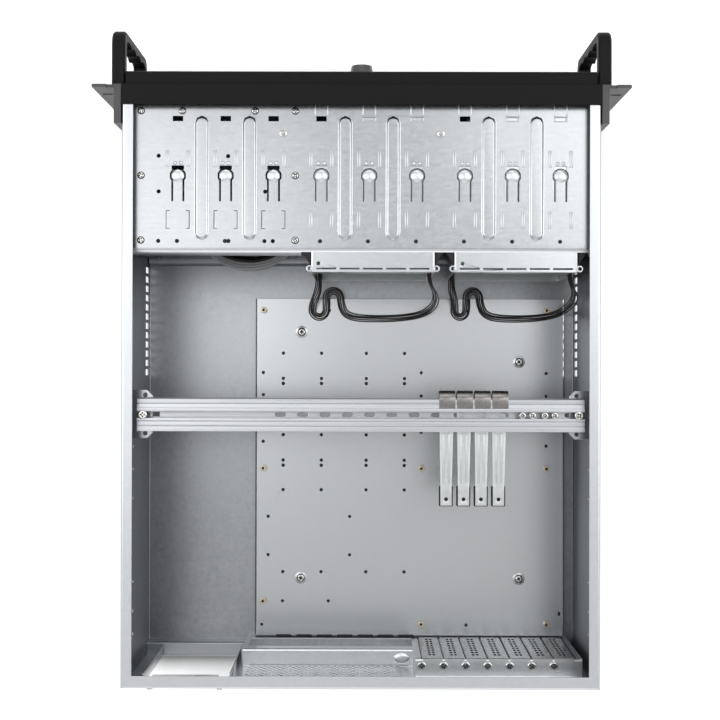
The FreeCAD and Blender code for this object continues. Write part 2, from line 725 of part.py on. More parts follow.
def cage_shell(group):
    x = cage_centre(group)
    half = CAGE_WIDTH / 2
    top = PLATE_TOP_Z - PLATE_SHEET - CAGE_CLEARANCE
    bottom = BAY_FLOOR_Z + CAGE_CLEARANCE
    depth = BACK * (CAGE_REAR_Y - CAGE_FRONT_Y)
    shell = prism(rectangle(x - half, x + half, bottom, top, BEND + SHEET), on_xz(CAGE_FRONT_Y), depth)
    inside = prism(rectangle(x - half + SHEET, x + half - SHEET, bottom + SHEET, top - SHEET, BEND),
                   on_xz(CAGE_FRONT_Y), depth)
    shell = shell.cut(inside)
    flange = box(x - half + SHEET, x + half - SHEET, CAGE_REAR_Y - SHEET, CAGE_REAR_Y,
                 top - CAGE_REAR_FLANGE, top - SHEET / 2)
    pieces = [shell, flange]
    for side in (-1, 1):
        ear_x = x + side * (half + CAGE_EAR_HOLE / 2)
        pieces.append(small_rod(CAGE_EAR_RADIUS, vec(ear_x, CAGE_REAR_Y - CAGE_EAR_RADIUS, top - SHEET), UP, SHEET, 8))
    cage = fused(pieces)
    cuts = []
    for side in (-1, 1):
        ear_x = x + side * (half + CAGE_EAR_HOLE / 2)
        cuts.append(small_rod(CAGE_EAR_HOLE, vec(ear_x, CAGE_REAR_Y - CAGE_EAR_RADIUS, top - 2 * SHEET), UP, 3 * SHEET, 6))
    for index in range(CAGE_SLOT_COUNT):
        slot_x = x + (index - (CAGE_SLOT_COUNT - 1) / 2) * CAGE_SLOT_PITCH
        cuts.append(box(slot_x - CAGE_SLOT_LENGTH / 2, slot_x + CAGE_SLOT_LENGTH / 2,
                        CAGE_REAR_Y - 2 * SHEET - CAGE_SLOT_WIDTH, CAGE_REAR_Y - 2 * SHEET, top - 2 * SHEET, top + 1))
    for level in range(CAGE_SIDE_SLOTS):
        z = bottom + CAGE_SIDE_FIRST + level * CAGE_SIDE_PITCH
        cuts.append(box(x - half - 1, x + half + 1, CAGE_FRONT_Y + 30, CAGE_REAR_Y - 45, z, z + CAGE_SIDE_SLOT))
    return cage.cut(cuts)


# The side rail fills the cage out to three bays and tapers at the rear
def cage_rail(group, side):
    x = cage_centre(group)
    inner = x + side * CAGE_WIDTH / 2
    outer = inner + side * CAGE_RAIL_WIDTH
    rear = CAGE_REAR_Y - 2 * CAGE_EAR_RADIUS - FIT
    corners = [(inner, CAGE_FRONT_Y), (outer, CAGE_FRONT_Y), (outer, rear - CAGE_RAIL_TAPER), (inner, rear)]
    top = PLATE_TOP_Z - PLATE_SHEET - CAGE_CLEARANCE
    return prism(corners, on_xy(top - CAGE_RAIL_HEIGHT), UP * CAGE_RAIL_HEIGHT)


def backplane(group):
    x = cage_centre(group)
    half = CAGE_WIDTH / 2 - SHEET
    bottom = BAY_FLOOR_Z + CAGE_CLEARANCE + SHEET + BEND
    top = PLATE_TOP_Z - PLATE_SHEET - CAGE_CLEARANCE - SHEET - BEND
    board = box(x - half, x + half, BACKPLANE_Y - BACKPLANE_THICKNESS, BACKPLANE_Y, bottom, top)
    windows = []
    for row in (0, 1):
        z = bottom + BACKPLANE_WINDOW_Z + row * BACKPLANE_WINDOW_PITCH
        half_length = BACKPLANE_WINDOW_LENGTH / 2
        windows.append(box(x - half_length, x + half_length, BACKPLANE_Y - BACKPLANE_THICKNESS - 1, BACKPLANE_Y + 1,
                           z, z + BACKPLANE_WINDOW_HEIGHT))
    return board.cut(windows)


# A power socket stands on the backplane where each end of a harness plugs in
def harness_sockets():
    width, depth, height = SOCKET_SIZE
    sockets = []
    for group in (1, 2):
        for side, z in ((1, SOCKET_LOW_Z), (-1, SOCKET_HIGH_Z)):
            x = cage_centre(group) + side * SOCKET_OFFSET_X
            sockets.append(box(x - width / 2, x + width / 2, BACKPLANE_Y, BACKPLANE_Y + depth,
                               z - height / 2, z + height / 2))
    return Part.makeCompound(sockets)


def cage_bezel(group):
    centre = bay_x(3 * group + 1)
    half = 3 * BAY_PITCH / 2 - COVER_GAP
    return bay_front(centre, half, BEZEL_COLUMNS)


# ---- bay covers ----

# A moulded front: a shallow tray with upright air slots
def bay_front(centre, half, columns):
    bottom = BAY_FLOOR_Z + COVER_GAP
    top = PLATE_TOP_Z - PLATE_SHEET - COVER_GAP
    y = COVER_FACE_Y
    front = box(centre - half, centre + half, y, y + COVER_DEPTH, bottom, top)
    inside = box(centre - half + COVER_WALL, centre + half - COVER_WALL, y + COVER_WALL, y + COVER_DEPTH + 1,
                 bottom + COVER_WALL, top - COVER_WALL)
    front = front.cut(inside)
    slots = []
    for column in range(columns):
        x = centre + (column - (columns - 1) / 2) * COVER_SLOT_PITCH
        for row in range(COVER_SLOT_ROWS):
            z = bottom + COVER_SLOT_FIRST + row * COVER_SLOT_ROW_PITCH
            slots.append(box(x - COVER_SLOT_WIDTH / 2, x + COVER_SLOT_WIDTH / 2, y - 1, y + COVER_WALL + 1,
                             z, z + COVER_SLOT_HEIGHT))
    return front.cut(slots)


def bay_cover(index):
    return bay_front(bay_x(index), BAY_PITCH / 2 - COVER_GAP, COVER_COLUMNS)


# ---- front frame and control strip ----

def front_frame():
    half = CASE_WIDTH / 2 + FRAME_LIP
    top = CASE_HEIGHT + FRAME_LIP
    ring = box(-half, half, RACK_Y, RACK_Y + FRAME_DEPTH, 0, top)
    hollow = box(-CASE_WIDTH / 2, CASE_WIDTH / 2, RACK_Y + FRAME_SHEET, RACK_Y + FRAME_DEPTH, -1, CASE_HEIGHT)
    face = ring.cut(hollow)
    left = bay_x(0) + BAY_PITCH / 2
    right = bay_x(BAY_COUNT - 1) - BAY_PITCH / 2
    opening = box(right, left, RACK_Y - 1, RACK_Y + FRAME_DEPTH, BAY_FLOOR_Z, PLATE_TOP_Z - PLATE_SHEET)
    half_strip = PANEL_WIDTH / 2 - PANEL_LAP
    strip = box(PANEL_X - half_strip, PANEL_X + half_strip, RACK_Y - 1, RACK_Y + FRAME_SHEET + 1,
                PANEL_BOTTOM + PANEL_LAP, PANEL_TOP - PANEL_LAP)
    frame = face.cut([opening, strip])
    return fused([frame, hinge_lug(-1), hinge_lug(1)])


def lug_span(side):
    end = side * (door_half_width() - DOOR_SHEET - FIT)
    other = end - side * HINGE_LUG_WIDTH
    return min(end, other), max(end, other)


# A round-ended lug that reaches into the hollow door and carries the hinge pin
def hinge_lug(side):
    x0, x1 = lug_span(side)
    pivot_y = door_pivot_y()
    half = HINGE_LUG_RADIUS * math.cos(math.pi / HINGE_LUG_SIDES)
    eye = small_rod(HINGE_LUG_RADIUS, vec(x0, pivot_y, DOOR_PIVOT_Z), ALONG, HINGE_LUG_WIDTH, HINGE_LUG_SIDES)
    neck = box(x0, x1, pivot_y, RACK_Y, DOOR_PIVOT_Z - half, DOOR_PIVOT_Z + half)
    bore = rod(HINGE_PIN_RADIUS, vec(x0 - 1, pivot_y, DOOR_PIVOT_Z), ALONG, HINGE_LUG_WIDTH + 2)
    return eye.fuse(neck).cut(bore)


def hinge_pin(side):
    length = DOOR_SHEET + FIT + HINGE_LUG_WIDTH
    outer = side * door_half_width()
    start = min(outer, outer - side * length)
    return rod(HINGE_PIN_RADIUS, vec(start, door_pivot_y(), DOOR_PIVOT_Z), ALONG, length)


def control_panel():
    half = PANEL_WIDTH / 2
    y = PANEL_FACE_Y
    panel = prism(rectangle(PANEL_X - half, PANEL_X + half, PANEL_BOTTOM, PANEL_TOP, PANEL_CORNER), on_xz(y), BACK * PANEL_DEPTH)
    cuts = []
    for radius, z in ((POWER_RADIUS, POWER_Z), (RESET_RADIUS, RESET_Z)):
        cuts.append(small_rod(radius + BUTTON_GAP, vec(PANEL_X, y - 1, z), BACK, PANEL_DEPTH + 2, BUTTON_SIDES))
        wide = radius + BUTTON_FLANGE + BUTTON_GAP
        cuts.append(small_rod(wide, vec(PANEL_X, y + BUTTON_SHELF, z), BACK, PANEL_DEPTH, BUTTON_SIDES))
    for index in range(LIGHT_COUNT):
        cuts.append(small_rod(LIGHT_RADIUS, vec(PANEL_X, y - 1, LIGHT_FIRST_Z - index * LIGHT_PITCH), BACK, PANEL_DEPTH + 2, 8))
    for index in range(USB_COUNT):
        z = USB_FIRST_Z + index * USB_PITCH
        cuts.append(box(PANEL_X - USB_WIDTH / 2, PANEL_X + USB_WIDTH / 2, y - 1, y + PANEL_DEPTH + 1,
                        z - USB_HEIGHT / 2, z + USB_HEIGHT / 2))
    return panel.cut(cuts)


def button(radius, z):
    y = PANEL_FACE_Y
    cap_depth = BUTTON_STANDOUT + BUTTON_SHELF + BUTTON_FLANGE / 2
    cap = small_rod(radius, vec(PANEL_X, y - BUTTON_STANDOUT, z), BACK, cap_depth, BUTTON_SIDES)
    rim = small_rod(radius + BUTTON_FLANGE, vec(PANEL_X, y + BUTTON_SHELF, z), BACK, BUTTON_FLANGE, BUTTON_SIDES)
    return fused([cap, rim])


# A small board behind the strip stops the buttons and carries the lights and sockets
def control_board():
    y = PANEL_FACE_Y + PANEL_DEPTH
    half = PANEL_WIDTH / 2 - 1
    board = box(PANEL_X - half, PANEL_X + half, y, y + BOARD_THICKNESS, PANEL_BOTTOM + 4, PANEL_TOP - 4)
    switches = []
    for radius, z in ((POWER_RADIUS, POWER_Z), (RESET_RADIUS, RESET_Z)):
        depth = y - (PANEL_FACE_Y + BUTTON_SHELF + BUTTON_FLANGE + BUTTON_TRAVEL + BUTTON_GAP)
        half_switch = radius * 0.6
        switches.append(box(PANEL_X - half_switch, PANEL_X + half_switch, y - depth, y, z - half_switch, z + half_switch))
    return fused([board] + switches)


def lights():
    lamps = []
    for index in range(LIGHT_COUNT):
        z = LIGHT_FIRST_Z - index * LIGHT_PITCH
        lamps.append(small_rod(LIGHT_RADIUS, vec(PANEL_X, PANEL_FACE_Y - LIGHT_STANDOUT, z), BACK, PANEL_DEPTH + LIGHT_STANDOUT, 8))
    return Part.makeCompound(lamps)


def usb_sockets():
    sockets = []
    for index in range(USB_COUNT):
        z = USB_FIRST_Z + index * USB_PITCH
        shell = box(PANEL_X - USB_WIDTH / 2, PANEL_X + USB_WIDTH / 2, PANEL_FACE_Y + 0.2,
                    PANEL_FACE_Y + PANEL_DEPTH, z - USB_HEIGHT / 2, z + USB_HEIGHT / 2)
        wall = USB_WALL
        mouth = box(PANEL_X - USB_WIDTH / 2 + wall, PANEL_X + USB_WIDTH / 2 - wall, PANEL_FACE_Y,
                    PANEL_FACE_Y + PANEL_DEPTH - 1, z - USB_HEIGHT / 2 + wall, z + USB_HEIGHT / 2 - wall)
        tongue = box(PANEL_X - wall - 1.1, PANEL_X - wall + 0.5, PANEL_FACE_Y + 1, PANEL_FACE_Y + PANEL_DEPTH - 1,
                     z - USB_HEIGHT / 2 + 2 * wall + 0.3, z + USB_HEIGHT / 2 - 2 * wall - 0.3)
        sockets.append(shell.cut(mouth).fuse(tongue))
    return Part.makeCompound(sockets)


# ---- door and lock ----

def door_half_width():
    return HANDLE_INNER_X - DOOR_SIDE_GAP


def door_pivot_y():
    return RACK_Y - FIT - DOOR_THICKNESS / 2


def door_front_y():
    return RACK_Y - FIT - DOOR_THICKNESS


def door():
    half = door_half_width()
    front = door_front_y()
    back = RACK_Y - FIT
    side = [(front, DOOR_BOTTOM, DOOR_CORNER), (back, DOOR_BOTTOM, DOOR_CORNER), (back, DOOR_TOP), (front, DOOR_TOP, DOOR_CORNER)]
    slab = prism(side, on_yz(-half), ALONG * 2 * half)
    inner = [(front + DOOR_SHEET, DOOR_BOTTOM + DOOR_SHEET, DOOR_CORNER - DOOR_SHEET), (back + 1, DOOR_BOTTOM + DOOR_SHEET),
             (back + 1, DOOR_TOP - DOOR_SHEET), (front + DOOR_SHEET, DOOR_TOP - DOOR_SHEET, DOOR_CORNER - DOOR_SHEET)]
    shell = slab.cut(prism(inner, on_yz(-half + DOOR_SHEET), ALONG * 2 * (half - DOOR_SHEET)))
    cuts = []
    for column in range(DOOR_SLOT_COLUMNS):
        x = (column - (DOOR_SLOT_COLUMNS - 1) / 2) * DOOR_SLOT_PITCH
        cuts.append(box(x - DOOR_SLOT_WIDTH / 2, x + DOOR_SLOT_WIDTH / 2, front - 1, front + 2 * DOOR_SHEET,
                        DOOR_SLOT_FIRST_Z, DOOR_SLOT_FIRST_Z + DOOR_SLOT_HEIGHT))
    cuts.append(rod(LOCK_BARREL_RADIUS, vec(0, front - 1, LOCK_Z), BACK, DOOR_THICKNESS))
    cuts.append(rod(HINGE_PIN_RADIUS + PIN_RUNNING_GAP, vec(-half - 1, door_pivot_y(), DOOR_PIVOT_Z), ALONG, 2 * half + 2))
    for side in (-1, 1):
        x0, x1 = lug_span(side)
        cuts.append(box(x0 - FIT, x1 + FIT, door_pivot_y() - HINGE_LUG_RADIUS - FIT, back + 1,
                        DOOR_BOTTOM - 1, DOOR_BOTTOM + 2 * DOOR_SHEET))
    return shell.cut(cuts)


def lock_body():
    front = door_front_y()
    bezel = Part.makeCone(LOCK_BEZEL_RADIUS - LOCK_BEZEL_TAPER, LOCK_BEZEL_RADIUS, LOCK_BEZEL_HEIGHT,
                          vec(0, front - LOCK_BEZEL_HEIGHT, LOCK_Z), BACK)
    barrel = rod(LOCK_BARREL_RADIUS, vec(0, front, LOCK_Z), BACK, DOOR_THICKNESS - 1.0)
    body = fused([bezel, barrel])
    return body.cut(rod(LOCK_PLUG_RADIUS + LOCK_PLUG_GAP, vec(0, front - LOCK_BEZEL_HEIGHT - 1, LOCK_Z), BACK, 40))


def lock_plug():
    front = door_front_y()
    start = front - LOCK_BEZEL_HEIGHT + 0.5
    end = RACK_Y + FRAME_SHEET + LOCK_CAM_BEHIND
    plug = rod(LOCK_PLUG_RADIUS, vec(0, start, LOCK_Z), BACK, end - start)
    key = box(-KEY_SLOT_WIDTH / 2, KEY_SLOT_WIDTH / 2, start - 1, start + KEY_SLOT_DEPTH,
              LOCK_Z - KEY_SLOT_LENGTH / 2, LOCK_Z + KEY_SLOT_LENGTH / 2)
    return plug.cut(key)


# The cam points sideways when unlocked and up behind the frame when locked
def lock_cam():
    y = RACK_Y + FRAME_SHEET + LOCK_CAM_BEHIND
    half = LOCK_CAM_WIDTH / 2
    corners = [(-half - 1, LOCK_Z - half, half - 0.5), (LOCK_CAM_LENGTH, LOCK_Z - half, 2.0),
               (LOCK_CAM_LENGTH, LOCK_Z + half, 2.0), (-half - 1, LOCK_Z + half, half - 0.5)]
    return prism(corners, on_xz(y), BACK * LOCK_CAM_SHEET)


# ---- rack ears and handles ----

def rack_ear():
    inner = CASE_WIDTH / 2 + FRAME_LIP
    outer = RACK_WIDTH / 2
    path = [(inner, RACK_Y), (outer, RACK_Y), (outer, RACK_Y + EAR_THICKNESS),
            (inner + EAR_LEG_THICKNESS, RACK_Y + EAR_THICKNESS, 1.5),
            (inner + EAR_LEG_THICKNESS, RACK_Y + EAR_LEG_DEPTH), (inner, RACK_Y + EAR_LEG_DEPTH)]
    ear = prism(path, on_xy(0.5), UP * (CASE_HEIGHT - 0.5))
    cuts = []
    for z in (EAR_HOLE_TOP_Z, EAR_HOLE_TOP_Z - EAR_HOLE_SPACING_Z):
        cuts.append(long_hole(vec(EAR_HOLE_SPACING_X / 2, RACK_Y - 1, z), EAR_SLOT_LENGTH, EAR_SLOT_WIDTH,
                              ALONG, BACK, EAR_THICKNESS + 2))
    cuts.append(box(inner + EAR_LEG_THICKNESS + 0.6, outer - EAR_NOTCH_REACH, RACK_Y - 1, RACK_Y + EAR_THICKNESS + 1,
                    CASE_HEIGHT - EAR_NOTCH_DEPTH, CASE_HEIGHT + 1))
    return ear.cut(cuts)


# A D-shaped handle cut from plate, with finger waves inside the grip and rounded edges
def handle():
    front = RACK_Y - HANDLE_REACH
    outer = [(RACK_Y, HANDLE_TOP), (front, HANDLE_TOP, HANDLE_CORNER), (front, HANDLE_BOTTOM, HANDLE_CORNER), (RACK_Y, HANDLE_BOTTOM)]
    body = prism(outer, on_yz(HANDLE_INNER_X), ALONG * HANDLE_WIDTH)
    rims = [edge for edge in body.Edges if edge.BoundBox.XLength < 1e-6 and edge.CenterOfMass.y < RACK_Y - 1]
    body = body.makeChamfer(HANDLE_EDGE, rims)
    inner_y = front + HANDLE_GRIP
    bottom = HANDLE_BOTTOM + HANDLE_ARM
    top = HANDLE_TOP - HANDLE_ARM
    wave = (top - bottom) / FINGER_WAVES
    wire = [Part.LineSegment(vec(0, RACK_Y + 1, bottom), vec(0, inner_y, bottom)).toShape()]
    for index in range(FINGER_WAVES):
        low = bottom + index * wave
        wire.append(Part.Arc(vec(0, inner_y, low), vec(0, inner_y + FINGER_WAVE_DEPTH * -1, low + wave / 2),
                             vec(0, inner_y, low + wave)).toShape())
    wire.append(Part.LineSegment(vec(0, inner_y, top), vec(0, RACK_Y + 1, top)).toShape())
    wire.append(Part.LineSegment(vec(0, RACK_Y + 1, top), vec(0, RACK_Y + 1, bottom)).toShape())
    gap = Part.Face(Part.Wire(wire)).extrude(ALONG * (HANDLE_WIDTH + 2))
    gap.translate(vec(HANDLE_INNER_X - 1, 0, 0))
    return body.cut(gap)


# ---- crossbar and clamps ----

def crossbar():
    y0 = BAR_FRONT_Y
    y1 = y0 + BAR_WIDTH
    top = BAR_TOP_Z
    low = top - BAR_HEIGHT
    left = y0 + BAR_RAIL
    right = left + BAR_CHANNEL
    neck = top - BAR_LIP
    wide = BAR_UNDERCUT
    floor = low + BAR_CHANNEL_FLOOR
    step_z = top - BAR_STEP
    step_y = y0 + BAR_STEP_WIDTH
    ease = BAR_EASE
    section = [
        (y0, low + ease), (y0 + ease, low), (y1, low), (y1, top), (right, top), (right, neck), (right + wide, neck),
        (right + wide, floor), (left - wide, floor), (left - wide, neck), (left, neck),
        (left, top), (step_y, top), (step_y, step_z), (y0 + ease, step_z), (y0, step_z - ease),
    ]
    bar = prism(section, on_yz(-BAR_HALF_LENGTH), ALONG * 2 * BAR_HALF_LENGTH)
    cuts = []
    for side in (-1, 1):
        rail_y = (y0 + left - wide) / 2 if side < 0 else (y1 + right + wide) / 2
        half = ((left - wide) - y0) / 2 - BAR_WALL
        cuts.append(box(-BAR_HALF_LENGTH - 1, BAR_HALF_LENGTH + 1, rail_y - half, rail_y + half,
                        low + BAR_WALL, step_z - BAR_WALL))
    middle = (left + right) / 2
    for index in range(BAR_HOLE_COUNT):
        x = BAR_HOLE_FIRST_X - index * BAR_HOLE_PITCH
        cuts.append(small_slot(vec(x, middle, low - 1), BAR_HOLE_LENGTH, BAR_HOLE_WIDTH, ALONG, UP, BAR_CHANNEL_FLOOR + 2))
    for side in (-1, 1):
        cuts.append(small_rod(SCREW_SHANK_RADIUS, vec(side * BAR_SCREW_X, middle, low - 1), UP, BAR_CHANNEL_FLOOR + 2, 6))
    return bar.cut(cuts)


def bar_bracket():
    top = BAR_TOP_Z - BAR_HEIGHT
    path = [(BRACKET_INNER_X, top), (WALL_X, top), (WALL_X, top - BRACKET_LEG)]
    middle = BAR_FRONT_Y + BAR_RAIL + BAR_CHANNEL / 2
    bracket = prism(folded(path[::-1], BRACKET_SHEET, BEND), on_xz(middle - BRACKET_LENGTH / 2), BACK * BRACKET_LENGTH)
    cut = BRACKET_CORNER
    front = middle - BRACKET_LENGTH / 2
    rear = middle + BRACKET_LENGTH / 2
    corners = [(BRACKET_INNER_X, front + cut), (BRACKET_INNER_X + cut, front), (WALL_X, front),
               (WALL_X, rear), (BRACKET_INNER_X + cut, rear), (BRACKET_INNER_X, rear - cut)]
    bracket = bracket.common(prism(corners, on_xy(top - 2 * BRACKET_LEG), UP * 3 * BRACKET_LEG))
    holes = [small_rod(SCREW_SHANK_RADIUS, vec(BAR_SCREW_X, middle, top - 5), UP, 10, 6)]
    for side in (-1, 1):
        place_y = middle + side * (BRACKET_LENGTH / 2 - BRACKET_HOLE_INSET)
        holes.append(small_rod(BRACKET_HOLE_RADIUS, vec(BAR_SCREW_X, place_y, top - 5), UP, 10, 6))
    return bracket.cut(holes)


# A spring clamp bent from one strip: it grips the bar and its arm reaches back over the cards
def clamp(x):
    leaf_top = BAR_TOP_Z - BAR_STEP + CLAMP_SHEET
    arm_top = BAR_TOP_Z - BAR_HEIGHT
    arm_low = arm_top - CLAMP_SHEET
    radius = (leaf_top - arm_low) / 2
    centre_z = (leaf_top + arm_low) / 2
    centre_y = BAR_FRONT_Y + BAR_EASE
    leaf_end = BAR_FRONT_Y + BAR_STEP_WIDTH - FIT
    bend_y = BAR_FRONT_Y + BAR_WIDTH + 1.0
    inner = radius - CLAMP_SHEET
    edges = [
        Part.LineSegment(vec(0, leaf_end, leaf_top), vec(0, centre_y, leaf_top)).toShape(),
        Part.Arc(vec(0, centre_y, leaf_top), vec(0, centre_y - radius, centre_z), vec(0, centre_y, arm_low)).toShape(),
        Part.LineSegment(vec(0, centre_y, arm_low), vec(0, bend_y, arm_low)).toShape(),
        Part.LineSegment(vec(0, bend_y, arm_low), vec(0, CLAMP_BOOT_Y, CLAMP_TIP_Z)).toShape(),
        Part.LineSegment(vec(0, CLAMP_BOOT_Y, CLAMP_TIP_Z), vec(0, CLAMP_TIP_Y, CLAMP_TIP_Z)).toShape(),
        Part.LineSegment(vec(0, CLAMP_TIP_Y, CLAMP_TIP_Z), vec(0, CLAMP_TIP_Y, CLAMP_TIP_Z + CLAMP_SHEET)).toShape(),
        Part.LineSegment(vec(0, CLAMP_TIP_Y, CLAMP_TIP_Z + CLAMP_SHEET), vec(0, CLAMP_BOOT_Y, CLAMP_TIP_Z + CLAMP_SHEET)).toShape(),
        Part.LineSegment(vec(0, CLAMP_BOOT_Y, CLAMP_TIP_Z + CLAMP_SHEET), vec(0, bend_y, arm_top)).toShape(),
        Part.LineSegment(vec(0, bend_y, arm_top), vec(0, centre_y, arm_top)).toShape(),
        Part.Arc(vec(0, centre_y, arm_top), vec(0, centre_y - inner, centre_z), vec(0, centre_y, leaf_top - CLAMP_SHEET)).toShape(),
        Part.LineSegment(vec(0, centre_y, leaf_top - CLAMP_SHEET), vec(0, leaf_end, leaf_top - CLAMP_SHEET)).toShape(),
        Part.LineSegment(vec(0, leaf_end, leaf_top - CLAMP_SHEET), vec(0, leaf_end, leaf_top)).toShape(),
    ]
    strip = Part.Face(Part.Wire(edges)).extrude(ALONG * CLAMP_ROLL_WIDTH)
    strip.translate(vec(x - CLAMP_ROLL_WIDTH / 2, 0, 0))
    front = BAR_FRONT_Y - 20
    wide = CLAMP_ROLL_WIDTH / 2
    arm = CLAMP_ARM_WIDTH / 2
    tip = CLAMP_TIP_WIDTH / 2
    shoulder = BAR_FRONT_Y + BAR_RAIL
    plan = [(x - wide, front), (x + wide, front), (x + wide, shoulder), (x + arm, shoulder + 2), (x + tip, CLAMP_BOOT_Y),
            (x + tip, CLAMP_TIP_Y), (x - tip, CLAMP_TIP_Y), (x - tip, CLAMP_BOOT_Y), (x - arm, shoulder + 2),
            (x - wide, shoulder)]
    strip = strip.common(prism(plan, on_xy(CLAMP_TIP_Z - 10), UP * 60))
    return strip.cut(small_rod(CLAMP_HOLE_RADIUS, vec(x, CLAMP_HOLE_Y, CLAMP_TIP_Z - 1), UP, 4, 8))


# A rubber foot pulled over the clamp's tip: a lip at each side and end, and a pad below
def clamp_foot(x):
    low = CLAMP_TIP_Z - FOOT_DROP
    top = CLAMP_TIP_Z + CLAMP_SHEET
    foot = prism(rectangle(x - FOOT_WIDTH / 2, x + FOOT_WIDTH / 2, CLAMP_BOOT_Y + FIT,
                           CLAMP_BOOT_Y + FOOT_LENGTH), on_xy(low), UP * (top - low))
    tip = CLAMP_TIP_WIDTH / 2
    pocket = box(x - tip, x + tip, CLAMP_BOOT_Y - 1, CLAMP_TIP_Y, CLAMP_TIP_Z, top + 1)
    return foot.cut(pocket)


# ---- fasteners ----

def slot_screws():
    z = SLOT_SHELF_Z + COVER_STRIP_SHEET
    first = SLOT_FIRST_X + SLOT_PITCH / 2
    places = [vec(first - index * SLOT_PITCH, SLOT_SCREW_Y, z) for index in range(SLOT_COUNT)]
    return Part.makeCompound(standing_screws(places, SLOT_SCREW_HEAD, SCREW_SHANK_LENGTH))


# Two screws hold the bar to its brackets, and four spare clamp screws wait in its channel
def bar_screws():
    middle = BAR_FRONT_Y + BAR_RAIL + BAR_CHANNEL / 2
    ends = [vec(side * BAR_SCREW_X, middle, BAR_TOP_Z) for side in (-1, 1)]
    spares = [vec(x, middle, BAR_TOP_Z) for x in SPARE_SCREW_X]
    long_shank = BAR_HEIGHT + BRACKET_SHEET
    return Part.makeCompound(standing_screws(ends, BAR_SCREW_HEAD, long_shank)
                             + standing_screws(spares, SPARE_SCREW_HEAD, SCREW_SHANK_LENGTH))


# The screws of the bay dividers, the tray and the rear panel
def case_screws():
    plate = [vec(x, DIVIDER_SCREW_Y[0], PLATE_TOP_Z) for x in PLATE_SCREW_X]
    plate += [vec(DIVIDER_OUTER_X + DIVIDER_FLANGE / 2, y, PLATE_TOP_Z) for y in DIVIDER_SCREW_Y]
    plate += [vec(DIVIDER_INNER_X + DIVIDER_FLANGE / 2, y, PLATE_TOP_Z) for y in DIVIDER_SCREW_Y]
    tray = [vec(x, y, TRAY_TOP_Z) for x, y in TRAY_SCREWS]
    rear = [vec(x, REAR_Y, REAR_SCREW_Z) for x in REAR_SCREW_X]
    return Part.makeCompound(standing_screws(plate, SCREW_HEAD_RADIUS, PLATE_SHEET * 3)
                             + standing_screws(tray, TRAY_SCREW_HEAD, TRAY_TOP_Z - SHEET)
                             + standing_screws(rear, SCREW_HEAD_RADIUS, SCREW_SHANK_LENGTH, BACK))


# A screw head above its seat and the shank below it
def standing_screws(places, head_radius, shank, axis=UP):
    screws = []
    for place in places:
        head = small_rod(head_radius, place, axis, SCREW_HEAD_HEIGHT, 8)
        screws.append(head.fuse(small_rod(SCREW_SHANK_RADIUS, place - axis * shank, axis, shank, 6)))
    return screws


# ---- leads and harnesses ----

# Straight runs joined by tangent arcs, each as large as its two runs allow
def cord_path(points):
    corners = [vec(*point) for point in points]
    edges = []
    at = corners[0]
    radii = []
    for index in range(1, len(corners) - 1):
        before = corners[index - 1] - corners[index]
        after = corners[index + 1] - corners[index]
        shorter = min(before.Length, after.Length)
        turn = math.pi - before.getAngle(after)
        radius = 0.45 * shorter / math.tan(turn / 2)
        reach = 0.45 * shorter
        one = before.normalize()
        two = after.normalize()
        start = corners[index] + one * reach
        end = corners[index] + two * reach
        inward = radius / math.cos(turn / 2) - radius
        middle = corners[index] + (one + two).normalize() * inward
        edges.append(Part.LineSegment(at, start).toShape())
        edges.append(Part.Arc(start, middle, end).toShape())
        at = end
        radii.append(round(radius, 1))
    edges.append(Part.LineSegment(at, corners[-1]).toShape())
    return Part.Wire(edges), radii


def cord(points, radius):
    path, radii = cord_path(points)
    first = vec(*points[1]) - vec(*points[0])
    circle = Part.Wire(Part.makeCircle(radius, vec(*points[0]), first))
    ring = Part.makePolygon(circle.discretize(CORD_SIDES + 1))
    tube = path.makePipeShell([ring], True, False)
    expected = Part.Face(ring).Area * path.Length
    print("cord length %.0f mm, volume ratio %.4f, radii %s" % (path.Length, tube.Volume / expected, radii))
    return tube


def harness_left():
    return cord([
        (41.4, -87, 45), (41.4, -76, 45), (42.6, -67.5, 37), (46, -61, 25), (49, -54.5, 16.5),
        (49, -46.5, 13.2), (42, -42.3, 13), (35, -46.5, 13), (34.6, -57, 13), (35, -66.5, 13), (28, -70.7, 13),
        (21, -66.5, 13), (20.6, -56, 13), (17, -46.5, 13), (7, -42.6, 13), (-12, -41.8, 13), (-38, -42.2, 13),
        (-60, -45.5, 15.5), (-70.5, -52.5, 32), (-72, -59.5, 60), (-69, -65.5, 91), (-65, -69, 117),
        (-62.6, -77, 132), (-62.6, -87, 132)], HARNESS_RADIUS)


def harness_right():
    return cord([
        (-87.9, -87, 45), (-87.9, -76, 45), (-88.9, -67.5, 37), (-91.5, -61, 25), (-92.5, -54.5, 16.5),
        (-92.5, -46.8, 13.2), (-98.5, -42.6, 13), (-104.5, -46.5, 13), (-105, -57, 13), (-104.8, -66.5, 13),
        (-111, -70.7, 13), (-117.4, -66.5, 13), (-118, -56, 13), (-122, -46.5, 13), (-132, -42.6, 13),
        (-152, -41.8, 13), (-174, -42.4, 13), (-193, -45.5, 15.5), (-204, -52.5, 32), (-205.5, -59.5, 60),
        (-201.5, -65.5, 91), (-195.4, -69, 117), (-191.9, -77, 132), (-191.9, -87, 132)], HARNESS_RADIUS)


# The outer shape of the coiled leads: an oval band that lies on the bay floor
def lead_coil():
    def oval(inset, z, depth):
        turns = [2 * math.pi * index / COIL_SIDES for index in range(COIL_SIDES + 1)]
        ring = [vec(COIL_X + (COIL_HALF_LENGTH - inset) * math.cos(turn),
                    COIL_Y + (COIL_HALF_WIDTH - inset) * math.sin(turn), z) for turn in turns]
        return Part.Face(Part.makePolygon(ring)).extrude(UP * depth)
    return oval(0.0, COIL_FLOOR_Z, COIL_HEIGHT).cut(oval(COIL_BAND, COIL_FLOOR_Z - 1, COIL_HEIGHT + 2))


